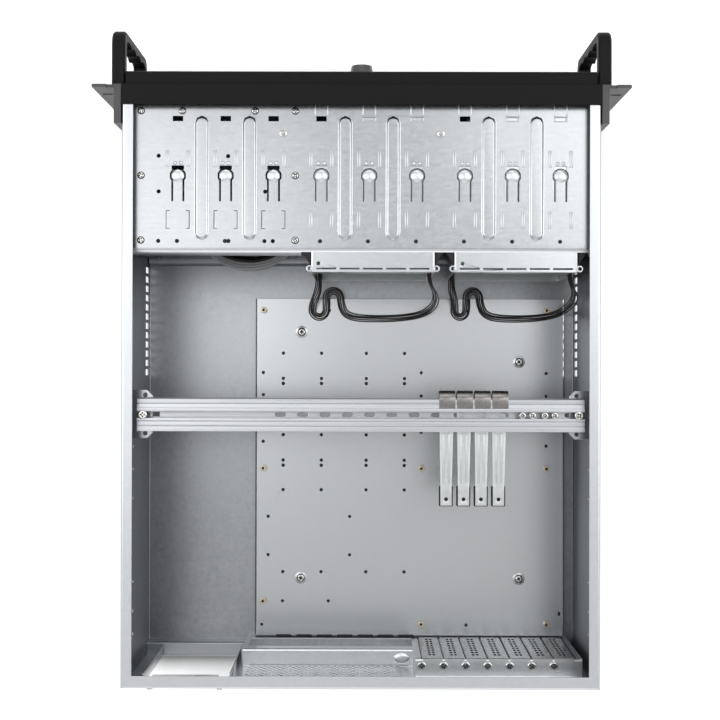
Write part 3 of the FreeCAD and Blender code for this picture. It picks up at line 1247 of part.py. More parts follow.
# A flat plug at the free end of each lead, against the coil
def lead_connectors():
    length, width, height = CONNECTOR_SIZE
    outer_x = COIL_X + COIL_HALF_LENGTH - CONNECTOR_GRIP
    inner_x = COIL_X - COIL_HALF_LENGTH + COIL_BAND - CONNECTOR_GRIP
    plugs = []
    for x in (outer_x, inner_x):
        plugs.append(box(x, x + length, COIL_Y - width / 2, COIL_Y + width / 2, COIL_FLOOR_Z, COIL_FLOOR_Z + height))
    return Part.makeCompound(plugs)


def usb_lead():
    return cord([
        (204, LEAD_EXIT_Y, 60), (204, -221, 60), (205.6, -205, 48), (201, -189, 32), (184, -175, 24),
        (160, -160, 21), (138, -149, 20.3), (119, -141.5, 20.3)], LEAD_RADIUS)


def switch_lead():
    return cord([
        (202.6, LEAD_EXIT_Y, 100), (202.6, -221, 100), (205.4, -204, 78), (203, -189, 50), (189, -173, 36),
        (166, -156, 31), (142, -139, 27.5), (118, -129.5, 21.5)], LEAD_RADIUS)


def main():
    keep("chassis_shell", chassis_shell())
    keep("motherboard_tray", motherboard_tray())
    keep("standoffs", standoffs())
    keep("rear_panel", rear_panel())
    for index in range(SLOT_COUNT):
        keep("slot_cover_%d" % (index + 1), slot_cover(SLOT_FIRST_X - index * SLOT_PITCH))
    keep("drive_plate_top", drive_plate_top())
    keep("drive_plate_bottom", drive_plate_bottom())
    keep("bay_divider_outer", bay_divider(DIVIDER_OUTER_X, True))
    keep("bay_divider_inner", bay_divider(DIVIDER_INNER_X, False))
    for group, side in ((1, "left"), (2, "right")):
        keep("drive_cage_" + side, cage_shell(group))
        keep("cage_rails_" + side, Part.makeCompound([cage_rail(group, 1), cage_rail(group, -1)]))
        keep("backplane_" + side, backplane(group))
        keep("cage_bezel_" + side, cage_bezel(group))
    keep("harness_sockets", harness_sockets())
    for index in range(3):
        keep("bay_cover_%d" % (index + 1), bay_cover(index))
    keep("front_frame", front_frame())
    keep("hinge_pins", Part.makeCompound([hinge_pin(1), hinge_pin(-1)]))
    keep("control_panel", control_panel())
    keep("control_board", control_board())
    keep("power_button", button(POWER_RADIUS, POWER_Z))
    keep("reset_button", button(RESET_RADIUS, RESET_Z))
    keep("front_lights", lights())
    keep("usb_sockets", usb_sockets())
    keep("front_door", door())
    keep("lock_body", lock_body())
    keep("lock_plug", lock_plug())
    keep("lock_cam", lock_cam())
    keep("rack_ear_left", rack_ear())
    keep("rack_ear_right", mirrored(rack_ear()))
    keep("handle_left", handle())
    keep("handle_right", mirrored(handle()))
    keep("crossbar", crossbar())
    keep("bar_bracket_left", bar_bracket())
    keep("bar_bracket_right", mirrored(bar_bracket()))
    clamp_places = [CLAMP_FIRST_X - index * CLAMP_PITCH for index in range(CLAMP_COUNT)]
    for index, x in enumerate(clamp_places):
        keep("card_clamp_%d" % (index + 1), clamp(x))
    keep("clamp_feet", Part.makeCompound([clamp_foot(x) for x in clamp_places]))
    keep("slot_screws", slot_screws())
    keep("bar_screws", bar_screws())
    keep("case_screws", case_screws())
    keep("harness_left", harness_left())
    keep("harness_right", harness_right())
    keep("usb_lead", usb_lead())
    keep("switch_lead", switch_lead())
    keep("lead_coil", lead_coil())
    keep("lead_connectors", lead_connectors())
    os.makedirs("parts", exist_ok=True)
    for name, shape in PARTS.items():
        shape.exportStep("parts/" + name + ".step")


main()
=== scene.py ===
import math
import bpy
from mathutils import Euler, Matrix, Vector
from mathutils.bvhtree import BVHTree


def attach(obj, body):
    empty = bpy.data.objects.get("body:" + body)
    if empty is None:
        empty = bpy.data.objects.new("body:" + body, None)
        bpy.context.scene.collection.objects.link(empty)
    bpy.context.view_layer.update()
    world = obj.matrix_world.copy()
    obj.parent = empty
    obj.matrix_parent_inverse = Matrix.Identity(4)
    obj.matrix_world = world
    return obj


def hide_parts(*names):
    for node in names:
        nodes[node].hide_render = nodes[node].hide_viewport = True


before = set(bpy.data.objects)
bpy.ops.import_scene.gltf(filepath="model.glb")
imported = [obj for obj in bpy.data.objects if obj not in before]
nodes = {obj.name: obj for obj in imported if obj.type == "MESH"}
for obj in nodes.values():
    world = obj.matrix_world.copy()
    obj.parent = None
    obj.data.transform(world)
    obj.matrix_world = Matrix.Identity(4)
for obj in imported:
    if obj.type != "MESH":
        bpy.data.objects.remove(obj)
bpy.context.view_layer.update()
mm = 0.001


# Small helpers: lengths are in millimetres, as in the drawing of the case
def clearChoice():
    for piece in list(bpy.context.selected_objects):
        piece.select_set(False)


def choose(*pieces):
    clearChoice()
    for piece in pieces:
        piece.select_set(True)
    bpy.context.view_layer.objects.active = pieces[0]


def settle(name):
    piece = bpy.context.object
    piece.name = name
    choose(piece)
    bpy.ops.object.transform_apply(location=True, rotation=True, scale=True)
    return piece


def inMetres(point):
    return [value * mm for value in point]


def about(middle, half):
    return (middle - half, middle + half)


def block(x, y, z, name="block"):
    clearChoice()
    centre = [(low + high) / 2 * mm for low, high in (x, y, z)]
    size = [abs(high - low) * mm for low, high in (x, y, z)]
    bpy.ops.mesh.primitive_cube_add(size=1, location=centre, scale=size)
    return settle(name)


turnTo = {"x": (0, math.pi / 2, 0), "y": (math.pi / 2, 0, 0), "z": (0, 0, 0)}


def rod(radius, centre, length, axis="z", sides=24, name="rod", tip=None):
    clearChoice()
    shape = {"vertices": sides, "depth": length * mm, "location": inMetres(centre),
             "rotation": turnTo[axis]}
    if tip is None:
        bpy.ops.mesh.primitive_cylinder_add(radius=radius * mm, **shape)
    else:
        bpy.ops.mesh.primitive_cone_add(radius1=radius * mm, radius2=tip * mm, **shape)
    return settle(name)


def dome(radius, height, sides=20, rings=10):
    clearChoice()
    bpy.ops.mesh.primitive_uv_sphere_add(
        segments=sides, ring_count=rings, radius=radius * mm, scale=(1, 1, height / radius))
    return settle("dome")


# A corner that an eased edge pushes off the sheet is put back on it
def keptNear(piece, sheet, reach):
    for vertex in piece.data.vertices:
        place, _, _, distance = sheet.find_nearest(vertex.co)
        if distance > reach:
            vertex.co = place


def bevelled(piece, width, segments=2, angle=30, held=True):
    sheet = None
    if not held:
        sheet = BVHTree.FromPolygons([vertex.co.copy() for vertex in piece.data.vertices],
                                     [list(face.vertices) for face in piece.data.polygons])
    choose(piece)
    edge = piece.modifiers.new("edge", "BEVEL")
    edge.width = width * mm
    edge.segments = segments
    edge.limit_method = "ANGLE"
    edge.angle_limit = math.radians(angle)
    edge.miter_outer = "MITER_ARC"
    edge.use_clamp_overlap = held
    bpy.ops.object.modifier_apply(modifier="edge")
    if sheet:
        keptNear(piece, sheet, width * 0.45 * mm)
    return piece


# Faces with many corners are split up, so that the holes in them stay open
def splitUp(piece):
    choose(piece)
    bpy.ops.object.mode_set(mode="EDIT")
    bpy.ops.mesh.select_all(action="SELECT")
    bpy.ops.mesh.quads_convert_to_tris(quad_method="BEAUTY", ngon_method="BEAUTY")
    bpy.ops.object.mode_set(mode="OBJECT")
    return piece


def eased(piece, width, segments=2):
    return bevelled(splitUp(piece), width, segments, 50, False)


def smoothed(piece, angle=32):
    choose(piece)
    bpy.ops.object.shade_smooth_by_angle(angle=math.radians(angle))
    return piece


# Large flat faces keep their true shading beside small eased edges
def evened(piece):
    choose(piece)
    normals = piece.modifiers.new("even", "WEIGHTED_NORMAL")
    normals.keep_sharp = True
    normals.weight = 100
    bpy.ops.object.modifier_apply(modifier="even")
    return piece


def joined(pieces, name):
    choose(*pieces)
    if len(pieces) > 1:
        bpy.ops.object.join()
    piece = bpy.context.view_layer.objects.active
    piece.name = name
    return piece


def linked(name, data):
    piece = bpy.data.objects.new(name, data)
    bpy.context.scene.collection.objects.link(piece)
    return piece


def moved(piece, place):
    piece.data.transform(Matrix.Translation(inMetres(place)))
    return piece


def turned(piece, degrees, axis):
    piece.data.transform(Matrix.Rotation(math.radians(degrees), 4, axis))
    return piece


def copied(piece, shift, name="copy"):
    return moved(linked(name, piece.data.copy()), shift)


def combined(piece, tool, operation="DIFFERENCE"):
    choose(piece)
    cut = piece.modifiers.new("cut", "BOOLEAN")
    cut.operation = operation
    cut.solver = "EXACT"
    cut.object = tool
    bpy.ops.object.modifier_apply(modifier="cut")
    bpy.data.objects.remove(tool)
    return piece


def cutAway(piece, cutters):
    return combined(piece, joined(cutters, "tool"))


def mergedCopy(node, name):
    piece = linked(name, nodes[node].data.copy())
    choose(piece)
    bpy.ops.mesh.customdata_custom_splitnormals_clear()
    bpy.ops.object.mode_set(mode="EDIT")
    bpy.ops.mesh.select_all(action="SELECT")
    bpy.ops.mesh.remove_doubles(threshold=0.000002)
    bpy.ops.mesh.dissolve_limited(angle_limit=math.radians(0.5))
    bpy.ops.object.mode_set(mode="OBJECT")
    return piece


def addFinishes(piece, *names):
    for name in names:
        piece.data.materials.append(coat[name])


def finish(piece, finishName, replaced=(), body="case"):
    if finishName:
        piece.data.materials.clear()
        addFinishes(piece, finishName)
    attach(piece, body)
    if replaced:
        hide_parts(*replaced)
    return piece


# The other nodes ride on the case, and their pieces are named after them
bodies = {"front_door": "door", "lock_body": "door", "lock_plug": "lock", "lock_cam": "lock",
          "power_button": "power", "reset_button": "reset"}
titles = {"lock_body": "lockBezel", "control_panel": "controlStrip", "standoffs": "standoffPosts",
          "drive_plate_bottom": "bottomPlate", "crossbar": "crossBar"}


def titleOf(node):
    first, *rest = node.split("_")
    return titles.get(node, first + "".join(word.capitalize() for word in rest))


# A carried-over node with eased edges, and holes or slots where they are given
def dressed(node, finishName, slotName, edge, segments, cutters=()):
    piece = mergedCopy(node, titleOf(node))
    if cutters:
        cutAway(piece, cutters)
    evened(smoothed(eased(piece, edge, segments)))
    return finish(piece, finishName, (node,), bodies.get(node, "case"))


def dressAll(looks):
    for node, look in looks.items():
        dressed(node, *look)


# Shader nodes: each input is a value, another node or one of its outputs
def feed(tree, node, inputs):
    for socket, value in inputs.items():
        if isinstance(value, bpy.types.Node):
            value = value.outputs[0]
        if isinstance(value, bpy.types.NodeSocket):
            tree.links.new(value, node.inputs[socket])
        else:
            node.inputs[socket].default_value = value
    return node


def wired(tree, kind, inputs=(), operation=None):
    node = tree.nodes.new("ShaderNode" + kind)
    if operation:
        node.operation = operation
    return feed(tree, node, dict(inputs))


def mapped(tree, value, start, stop, low=0.0, high=1.0):
    return wired(tree, "MapRange", {"Value": value, "From Min": start, "From Max": stop,
                                    "To Min": low, "To Max": high})


def emptied(owner):
    owner.use_nodes = True
    owner.node_tree.nodes.clear()
    return owner.node_tree


# Camera, floor and light, in metres and watts
camera = {"place": (-0.0044, 0.0071, 1.5619), "tilt": (0.0049, 0.0037, 0.0027), "lens": 77.7,
          "sensor": 36.0}
light = {"world": 0.5, "tint": (0.97, 0.985, 1.0, 1), "aim": (0, 0, 0.1)}
softboxes = (  # name, place, size and power
    ("left", (1.05, -0.45, 2.5), (0.9, 1.9), 10.5),
    ("right", (-0.95, -0.66, 2.5), (0.9, 1.3), 9.0),
    ("sideLeft", (1.7, -0.1, 1.6), (0.8, 1.4), 12.0),
    ("sideRight", (-1.7, -0.1, 1.6), (0.8, 1.4), 12.0),
    ("front", (0.0, -1.9, 1.5), (1.6, 0.7), 7.0),
    ("rear", (0.0, 1.9, 1.5), (1.6, 0.7), 8.0))
ground = {"size": 9, "drop": 0.0005, "paper": (0.9, 0.9, 0.9), "glow": 0.35, "even": (0.8, 2.2),
          "behind": (0.286, 0.296), "corner": 0.032, "openness": (0.6, 0.97), "darkest": 0.16}


def makeCamera():
    eye = bpy.data.cameras.new("eye")
    eye.lens = camera["lens"]
    eye.sensor_width = camera["sensor"]
    eye.clip_start = 0.05
    eye.clip_end = 20
    holder = linked("eye", eye)
    level = Matrix(((-1, 0, 0), (0, -1, 0), (0, 0, 1)))
    turn = level @ Euler(camera["tilt"]).to_matrix()
    holder.matrix_world = Matrix.Translation(camera["place"]) @ turn.to_4x4()
    bpy.context.scene.camera = holder


def seenDirectly(tree):
    path = wired(tree, "LightPath").outputs
    first = wired(tree, "Math", {0: path["Is Camera Ray"], 1: path["Is Glossy Ray"]}, "MAXIMUM")
    return wired(tree, "Math", {0: first, 1: path["Is Transmission Ray"]}, "MAXIMUM")


def makeWorld():
    world = bpy.data.worlds.new("studio")
    bpy.context.scene.world = world
    tree = emptied(world)
    lit = wired(tree, "Background", {"Color": light["tint"], "Strength": light["world"]})
    shown = wired(tree, "Background", {"Color": (1, 1, 1, 1)})
    both = wired(tree, "MixShader", {0: seenDirectly(tree), 1: lit, 2: shown})
    wired(tree, "OutputWorld", {"Surface": both})


# The ground carries a painted shadow in the corner behind the rear wall, darker where the case closes
# round it, and is evenly white far from the case
def makeFloor():
    clearChoice()
    bpy.ops.mesh.primitive_grid_add(x_subdivisions=8, y_subdivisions=8, size=ground["size"],
                                    location=(0, 0, -ground["drop"]))
    floor = settle("ground")
    material = bpy.data.materials.new("paleGround")
    tree = emptied(material)
    near = wired(tree, "AmbientOcclusion", {"Distance": ground["corner"]})
    near.samples = 16
    dim = mapped(tree, near.outputs["AO"], *ground["openness"], ground["darkest"], 1.0)
    place = wired(tree, "TexCoord").outputs["Object"]
    apart = wired(tree, "SeparateXYZ", {0: place})
    behind = mapped(tree, apart.outputs["Y"], *ground["behind"])
    # painted shadow: behind the rear wall the ground's colour and glow fall with its occlusion
    shadow = wired(tree, "Mix", {"Factor": behind, "A": 1.0, "B": dim})
    reach = wired(tree, "VectorMath", {0: place}, "LENGTH").outputs["Value"]
    lit = mapped(tree, reach, *ground["even"], 1.0, 0.0)
    shown = mapped(tree, reach, *ground["even"], ground["glow"], 1.0)
    kept = wired(tree, "Math", {0: shadow, 1: lit}, "MULTIPLY")
    white = wired(tree, "VectorMath", {0: ground["paper"], "Scale": kept}, "SCALE")
    paper = wired(tree, "BsdfDiffuse", {"Color": white})
    strength = wired(tree, "Math", {0: seenDirectly(tree), 1: shown}, "MULTIPLY")
    faded = wired(tree, "Math", {0: strength, 1: shadow}, "MULTIPLY")
    glow = wired(tree, "Emission", {"Strength": faded})
    both = wired(tree, "AddShader", {0: paper, 1: glow})
    wired(tree, "OutputMaterial", {"Surface": both})
    floor.data.materials.append(material)


def softbox(name, place, size, power):
    lamp = bpy.data.lights.new(name, "AREA")
    lamp.shape = "RECTANGLE"
    lamp.size, lamp.size_y = size
    lamp.energy = power
    holder = linked(name, lamp)
    holder.location = place
    holder.rotation_mode = "QUATERNION"
    holder.rotation_quaternion = (Vector(light["aim"]) - Vector(place)).to_track_quat("-Z", "Y")


bpy.context.scene.view_settings.view_transform = "Standard"
makeCamera()
makeWorld()
makeFloor()
for box in softboxes:
    softbox(*box)
print("camera, floor and light are set")


# Finishes: what each one leaves out comes from usual, and edge and back scale the colour along the case
# as painted shade and painted light
usual = {"metal": 1.0, "specular": 0.5, "bump": 0.05, "grain": 420, "fine": 2600, "flake": 0,
         "share": 0.22, "stretch": (1, 1, 1)}
rolledZinc = {"bump": 0.022, "flake": 260, "share": 0.10, "stretch": (0.25, 1, 1)}
evenZinc = {"bump": 0.03, "flake": 260, "share": 0.12}
wornZinc = {"drift": 0.14, "grain": 300, "fine": 1900, "flake": 230}
screws = {"grain": 700, "fine": 3000}
dull = {"metal": 0.0, "specular": 0.2}
clear = {"metal": 0.0, "grain": 260}
wires = {"metal": 0.0, "bump": 0.10, "grain": 240, "fine": 1500, "rough": (0.34, 0.46)}
finishes = {
    "zincSteel": {**rolledZinc, "colour": (0.345, 0.357, 0.369), "drift": 0.11, "rough": (0.215, 0.265)},
    # the floor's colour darkens towards the walls and towards the rear: painted shade
    "floorZinc": {**wornZinc, "colour": (0.34, 0.352, 0.37), "rough": (0.26, 0.38), "bump": 0.16,
        "edge": (0.150, 0.207, 0.62), "back": (-0.04, 0.20, 0.72)},
    "trayZinc": {"colour": (0.40, 0.412, 0.424), "drift": 0.04, "rough": (0.245, 0.27), "bump": 0.012,
        "grain": 520, "flake": 260, "share": 0.06},
    "cageZinc": {**rolledZinc, "colour": (0.42, 0.434, 0.446), "drift": 0.06, "rough": (0.22, 0.27)},
    # the next two are a lit and a shaded copy of the zinc for upward faces: painted highlight and painted
    # shade
    "brightZincCopy": {**evenZinc, "colour": (0.62, 0.635, 0.645), "drift": 0.06, "rough": (0.26, 0.32)},
    "shadedLedgeZinc": {**evenZinc, "colour": (0.27, 0.28, 0.292), "drift": 0.07, "rough": (0.28, 0.34)},
    "rearZinc": {**evenZinc, "colour": (0.53, 0.545, 0.56), "drift": 0.07, "rough": (0.26, 0.32)},
    # a brighter copy of the zinc for lit rims, slopes and ridges: painted highlight
    "litZincCopy": {**evenZinc, "colour": (0.46, 0.47, 0.485), "drift": 0.05, "rough": (0.28, 0.36),
        "grain": 300, "flake": 300},
    # a darker copy of the zinc for the shaded inner walls and bottom plate, lighter towards the rear:
    # painted shade and painted light
    "shadedZincCopy": {**wornZinc, "colour": (0.17, 0.178, 0.19), "rough": (0.30, 0.42), "bump": 0.14,
        "back": (0.0, 0.24, 1.4)},
    "brightSteel": {"colour": (0.42, 0.43, 0.44), "drift": 0.06, "rough": (0.22, 0.34), "bump": 0.06,
        "grain": 380, "fine": 2400},
    "springSteel": {"colour": (0.20, 0.19, 0.186), "drift": 0.12, "rough": (0.22, 0.36), "bump": 0.08,
        "grain": 520},
    "clampZinc": {"colour": (0.47, 0.485, 0.49), "drift": 0.07, "rough": (0.25, 0.38), "bump": 0.07,
        "flake": 320},
    "brushedAluminium": {"colour": (0.43, 0.44, 0.46), "drift": 0.10, "rough": (0.20, 0.40), "bump": 0.16,
        "grain": 60, "fine": 900, "stretch": (0.012, 1, 1)},
    "screwSteel": {**screws, "colour": (0.47, 0.465, 0.45), "drift": 0.08, "rough": (0.14, 0.24)},
    "nickel": {**screws, "colour": (0.50, 0.495, 0.48), "drift": 0.06, "rough": (0.16, 0.28)},
    "brass": {**screws, "colour": (0.42, 0.365, 0.27), "drift": 0.08, "rough": (0.20, 0.34), "bump": 0.06,
        "grain": 600},
    "lockChrome": {"colour": (0.10, 0.097, 0.10), "drift": 0.05, "rough": (0.14, 0.26), "grain": 400},
    # a dark finish painted as shade on the walls of cuts and holes in the top plate
    "paintedCutShade": {"colour": (0.075, 0.077, 0.08), "drift": 0.1, "rough": (0.4, 0.5), "grain": 500,
        "fine": 2000},
    # a dark finish painted as shade in recesses, bores, holes, slits and gaps
    "paintedShade": {**dull, "colour": (0.02, 0.02, 0.021), "drift": 0.1, "rough": (0.5, 0.6), "grain": 500,
        "fine": 2000},
    "blackCoat": {**dull, "colour": (0.0042, 0.004, 0.0046), "drift": 0.20, "rough": (0.42, 0.56),
        "specular": 0.12, "bump": 0.30, "grain": 160, "fine": 1500},
    "darkCoat": {**dull, "colour": (0.07, 0.067, 0.069), "drift": 0.14, "rough": (0.38, 0.5),
        "specular": 0.3, "bump": 0.25, "grain": 160, "fine": 1600},
    "blackPlastic": {**dull, "colour": (0.014, 0.014, 0.015), "drift": 0.18, "rough": (0.40, 0.55),
        "bump": 0.22, "grain": 220, "fine": 1800},
    "rubber": {**dull, "colour": (0.016, 0.015, 0.015), "drift": 0.22, "rough": (0.60, 0.78),
        "bump": 0.30, "grain": 320, "fine": 2000},
    "boardGreen": {**clear, "colour": (0.02, 0.12, 0.055), "drift": 0.2, "rough": (0.30, 0.42),
        "bump": 0.2, "fine": 1400},
    "socketWhite": {**clear, "colour": (0.78, 0.76, 0.70), "drift": 0.05, "rough": (0.40, 0.52),
        "bump": 0.12, "fine": 1600},
    "lampClear": {**clear, "colour": (0.75, 0.78, 0.76), "drift": 0.04, "rough": (0.12, 0.2),
        "bump": 0.04, "fine": 900},
    "wireBrown": {**wires, "colour": (0.014, 0.010, 0.010), "drift": 0.3, "specular": 0.18},
    "wireGrey": {**wires, "colour": (0.40, 0.40, 0.41), "drift": 0.12, "rough": (0.36, 0.48)},
}


# A finish varies in colour and gloss at its grain's size, and a finer noise raises its surface
def makeFinish(name):
    look = {**usual, **finishes[name]}
    material = bpy.data.materials.new(name)
    material.use_nodes = True
    tree = material.node_tree
    shader = tree.nodes["Principled BSDF"]
    place = wired(tree, "TexCoord").outputs["Object"]
    stretch = wired(tree, "Mapping", {"Vector": place, "Scale": look["stretch"]})
    noises = [wired(tree, "TexNoise", {"Vector": stretch, "Scale": look[key], "Detail": detail})
              for key, detail in (("grain", 5), ("fine", 3))]
    grain, fine = [noise.outputs["Fac"] for noise in noises]
    half = wired(tree, "Math", {0: fine, 1: 0.5}, "MULTIPLY")
    level = wired(tree, "Math", {0: grain, 1: 0.5, 2: half}, "MULTIPLY_ADD")
    if look["flake"]:
        flakes = wired(tree, "TexVoronoi", {"Vector": place, "Scale": look["flake"]}).outputs["Color"]
        level = wired(tree, "Math", {0: flakes, 1: look["share"], 2: level}, "MULTIPLY_ADD")
    shade = wired(tree, "ValToRGB", {"Fac": level})
    for stop, at, times in zip(shade.color_ramp.elements, (0.3, 0.8), about(1, look["drift"])):
        stop.position = at
        stop.color = [min(1, part * times) for part in look["colour"]] + [1]
    colour = shade.outputs["Color"]
    apart = wired(tree, "SeparateXYZ", {0: place}).outputs
    # painted shade and light: edge scales the colour by distance from the middle across the case, back by
    # place along it
    for key, axis in (("edge", "X"), ("back", "Y")):
        if key in look:
            start, stop, least = look[key]
            along = apart[axis] if axis == "Y" else wired(tree, "Math", {0: apart[axis]}, "ABSOLUTE")
            fade = mapped(tree, along, start, stop, 1.0, least)
            fade.interpolation_type = "SMOOTHSTEP"
            colour = wired(tree, "VectorMath", {0: colour, "Scale": fade}, "SCALE")
    bump = wired(tree, "Bump", {"Strength": look["bump"], "Distance": 0.0003, "Height": fine})
    gloss = mapped(tree, level, 0.3, 0.7, *look["rough"])
    feed(tree, shader, {"Base Color": colour, "Roughness": gloss, "Metallic": look["metal"],
                        "Specular IOR Level": look["specular"], "Normal": bump})
    return material


coat = {name: makeFinish(name) for name in finishes}
print("finishes are made")


# Leads and harnesses: each follows one smooth spline through its route
harness = {"wire": 0.6, "spread": 1.62, "count": 5, "diameter": 3.8, "phase": 1.7, "pinched": 0.7,
           "turn": (0.3, 9, 0.7), "wander": (0.22, 31), "lift": (0.4, 23)}  # how far, and how often
harnessRoutes = {
    "left": [
        (41.4, -87, 45), (41.4, -76, 45), (42.6, -67.5, 37), (46, -61, 25), (49, -54.5, 16.5),
        (49, -46.5, 13.2), (42, -42.3, 13), (35, -46.5, 13), (34.6, -57, 13), (35, -66.5, 13),
        (28, -70.7, 13), (21, -66.5, 13), (20.6, -56, 13), (17, -46.5, 13), (7, -42.6, 13),
        (-12, -41.8, 13), (-38, -42.2, 13), (-60, -45.5, 15.5), (-70.5, -52.5, 32), (-72, -59.5, 60),
        (-69, -65.5, 91), (-65, -69, 117), (-62.6, -77, 132), (-62.6, -87, 132)],
    "right": [
        (-87.9, -87, 45), (-87.9, -76, 45), (-88.9, -67.5, 37), (-91.5, -61, 25), (-92.5, -54.5, 16.5),
        (-92.5, -46.8, 13.2), (-98.5, -42.6, 13), (-104.5, -46.5, 13), (-105, -57, 13),
        (-104.8, -66.5, 13), (-111, -70.7, 13), (-117.4, -66.5, 13), (-118, -56, 13), (-122, -46.5, 13),
        (-132, -42.6, 13), (-152, -41.8, 13), (-174, -42.4, 13), (-193, -45.5, 15.5), (-204, -52.5, 32),
        (-205.5, -59.5, 60), (-201.5, -65.5, 91), (-195.4, -69, 117), (-191.9, -77, 132),
        (-191.9, -87, 132)],
}


def curveThrough(name, kind, points, thickness, rings):
    curve = bpy.data.curves.new(name, "CURVE")
    curve.dimensions = "3D"
    spline = curve.splines.new(kind)
    spline.points.add(len(points) - 1)
    for point, place in zip(spline.points, points):
        point.co = (*place, 1)
    curve.bevel_depth = thickness * mm
    curve.bevel_resolution = rings
    curve.use_fill_caps = True
    return linked(name, curve), spline


def splineOf(points, name, thickness=0.0):
    piece, spline = curveThrough(name, "NURBS", [inMetres(place) for place in points], thickness, 4)
    spline.order_u = 3
    spline.use_endpoint_u = True
    spline.resolution_u = 8
    return piece


def pointsAlong(route):
    piece = splineOf(route, "route")
    bpy.context.view_layer.update()
    line = bpy.data.meshes.new_from_object(piece)
    points = [vertex.co.copy() for vertex in line.vertices]
    bpy.data.meshes.remove(line)
    bpy.data.objects.remove(piece)
    return points


def lengthOf(points):
    return sum((points[index + 1] - points[index]).length for index in range(len(points) - 1))


# A wire beside the route: its offset turns slowly about the line, as in a loose ribbon
def wireBeside(points, offsets):
    spots = []
    side = Vector((1, 0, 0))
    for index, place in enumerate(points):
        ahead = (points[min(index + 1, len(points) - 1)] - points[max(index - 1, 0)]).normalized()
        side = (side - ahead * side.dot(ahead)).normalized()
        over = ahead.cross(side)
        across, above = offsets(index / (len(points) - 1))
        spots.append(place + side * across * mm + over * above * mm)
    choose(curveThrough("wire", "POLY", spots, harness["wire"], 3)[0])
    bpy.ops.object.convert(target="MESH")
    return bpy.context.object


def wave(name, share, phase):
    size, often = harness[name][:2]
    return size * math.sin(share * often + phase)


def makeHarness(side):
    points = pointsAlong(harnessRoutes[side])
    wires = []
    for number in range(harness["count"]):
        step = (number - (harness["count"] - 1) / 2) * harness["spread"]
        phase = number * harness["phase"]

        def offsets(share):
            turn = wave("turn", share, harness["turn"][2])
            open = min(1, 14 * min(share, 1 - share))
            wide = step * (harness["pinched"] + (1 - harness["pinched"]) * open)
            return (wide * math.cos(turn) + wave("wander", share, phase),
                    wide * math.sin(turn) + wave("lift", share, phase * 2))

        wires.append(wireBeside(points, offsets))
    bundle = smoothed(joined(wires, "harness" + side.capitalize()), 60)
    finish(bundle, "wireBrown", ("harness_" + side,))


for side in ("left", "right"):
    makeHarness(side)

coil = {"x": 111.0, "y": -116.4, "half": (45.0, 28.0), "low": 18.7, "rise": 4.15, "steps": 16,
        "wobble": 0.5, "thickness": 2.0}
usbRoute = [(204, -233.9, 60), (204, -221, 60), (205.6, -205, 48), (201, -189, 32), (184, -175, 24),
            (160, -160, 21), (138, -149, 19.6)]
usbEnd = [(147.8, -103.5, 19.2), (152.4, -110.0, 19.5), (155.4, -115.6, 19.6)]
switchRoute = [(202.6, -233.9, 100), (202.6, -221, 100), (205.4, -204, 78), (203, -189, 50),
               (189, -173, 36), (166, -156, 31), (142, -139, 28.6)]
switchEnd = [(77.5, -121.5, 20.4), (80.4, -117.6, 19.6)]


# The turns of a lead: each next one lies further in or on the one below
def coilTurns(first, turns, inset, height):
    points = []
    for index in range(int(turns * coil["steps"]) + 1):
        share = index / coil["steps"]
        turn = math.radians(first) - 2 * math.pi * share
        wobble = coil["wobble"] * math.sin(5 * turn + first) * min(1, share)
        long, wide = [half - inset(share) + wobble for half in coil["half"]]
        x, y = coil["x"] + long * math.cos(turn), coil["y"] + wide * math.sin(turn)
        points.append((x, y, height(share)))
    return points


def makeLead(name, points, finishName, replaced):
    lead = splineOf(points, name, coil["thickness"])
    length = lengthOf(pointsAlong(points))
    print(name, "is", round(length, 4), "long")
    finish(lead, finishName, replaced)


plugs = {"length": 15.0, "low": 16.6, "high": 22.4, "hood": (0.62, 4.3), "nose": (0.58, 3.7),
         "mouths": (0, 1.6, 3.2, 4.8), "ribs": (0, 1.5, 3.0, 4.5)}


# A flat plug: a long hood with a stepped nose, ribs and open contacts
def makePlug(name, x0, replaced=()):
    y, low, high, x1 = coil["y"], plugs["low"], plugs["high"], x0 + plugs["length"]
    share, half = plugs["hood"]
    hood = bevelled(block((x0, x0 + plugs["length"] * share), about(y, half), (low, high)), 1.1, 3)
    share, half = plugs["nose"]
    nose = block((x0 + plugs["length"] * share, x1), about(y, half), (low + 0.5, high - 0.5))
    bevelled(nose, 0.4)
    cutAway(nose, [block((x1 - 2.5, x1 + 1), about(y - 2.3 + at, 0.6), (low + 1.6, high - 1.6))
                   for at in plugs["mouths"]])
    ribs = [block(about(x0 + 2.55 + at, 0.35), about(y, 4.45), (low + 0.6, high + 0.1))
            for at in plugs["ribs"]]
    piece = smoothed(joined([hood, nose] + [bevelled(rib, 0.15, 1) for rib in ribs], name))
    return finish(piece, "blackPlastic", replaced)


usbPlug = makePlug("usbPlug", 155.0, ("lead_connectors",))
switchPlug = makePlug("switchPlug", 80.0)
usbTurns = coilTurns(-62, 2.7, lambda share: 8.6 - 2.35 * share,
                     lambda share: coil["low"] + 0.3 * math.sin(share * 5))
makeLead("usbLead", usbRoute + usbTurns + usbEnd, "wireGrey",
         ("usb_lead", "lead_coil"))
switchTurns = coilTurns(-58, 2.3, lambda share: 12.6 - 1.6 * share,
                        lambda share: coil["low"] + coil["rise"] + 0.5 * math.cos(share * 4))
makeLead("switchLead", switchRoute + switchTurns + switchEnd, "wireBrown",
         ("switch_lead",))
print("cords are laid")


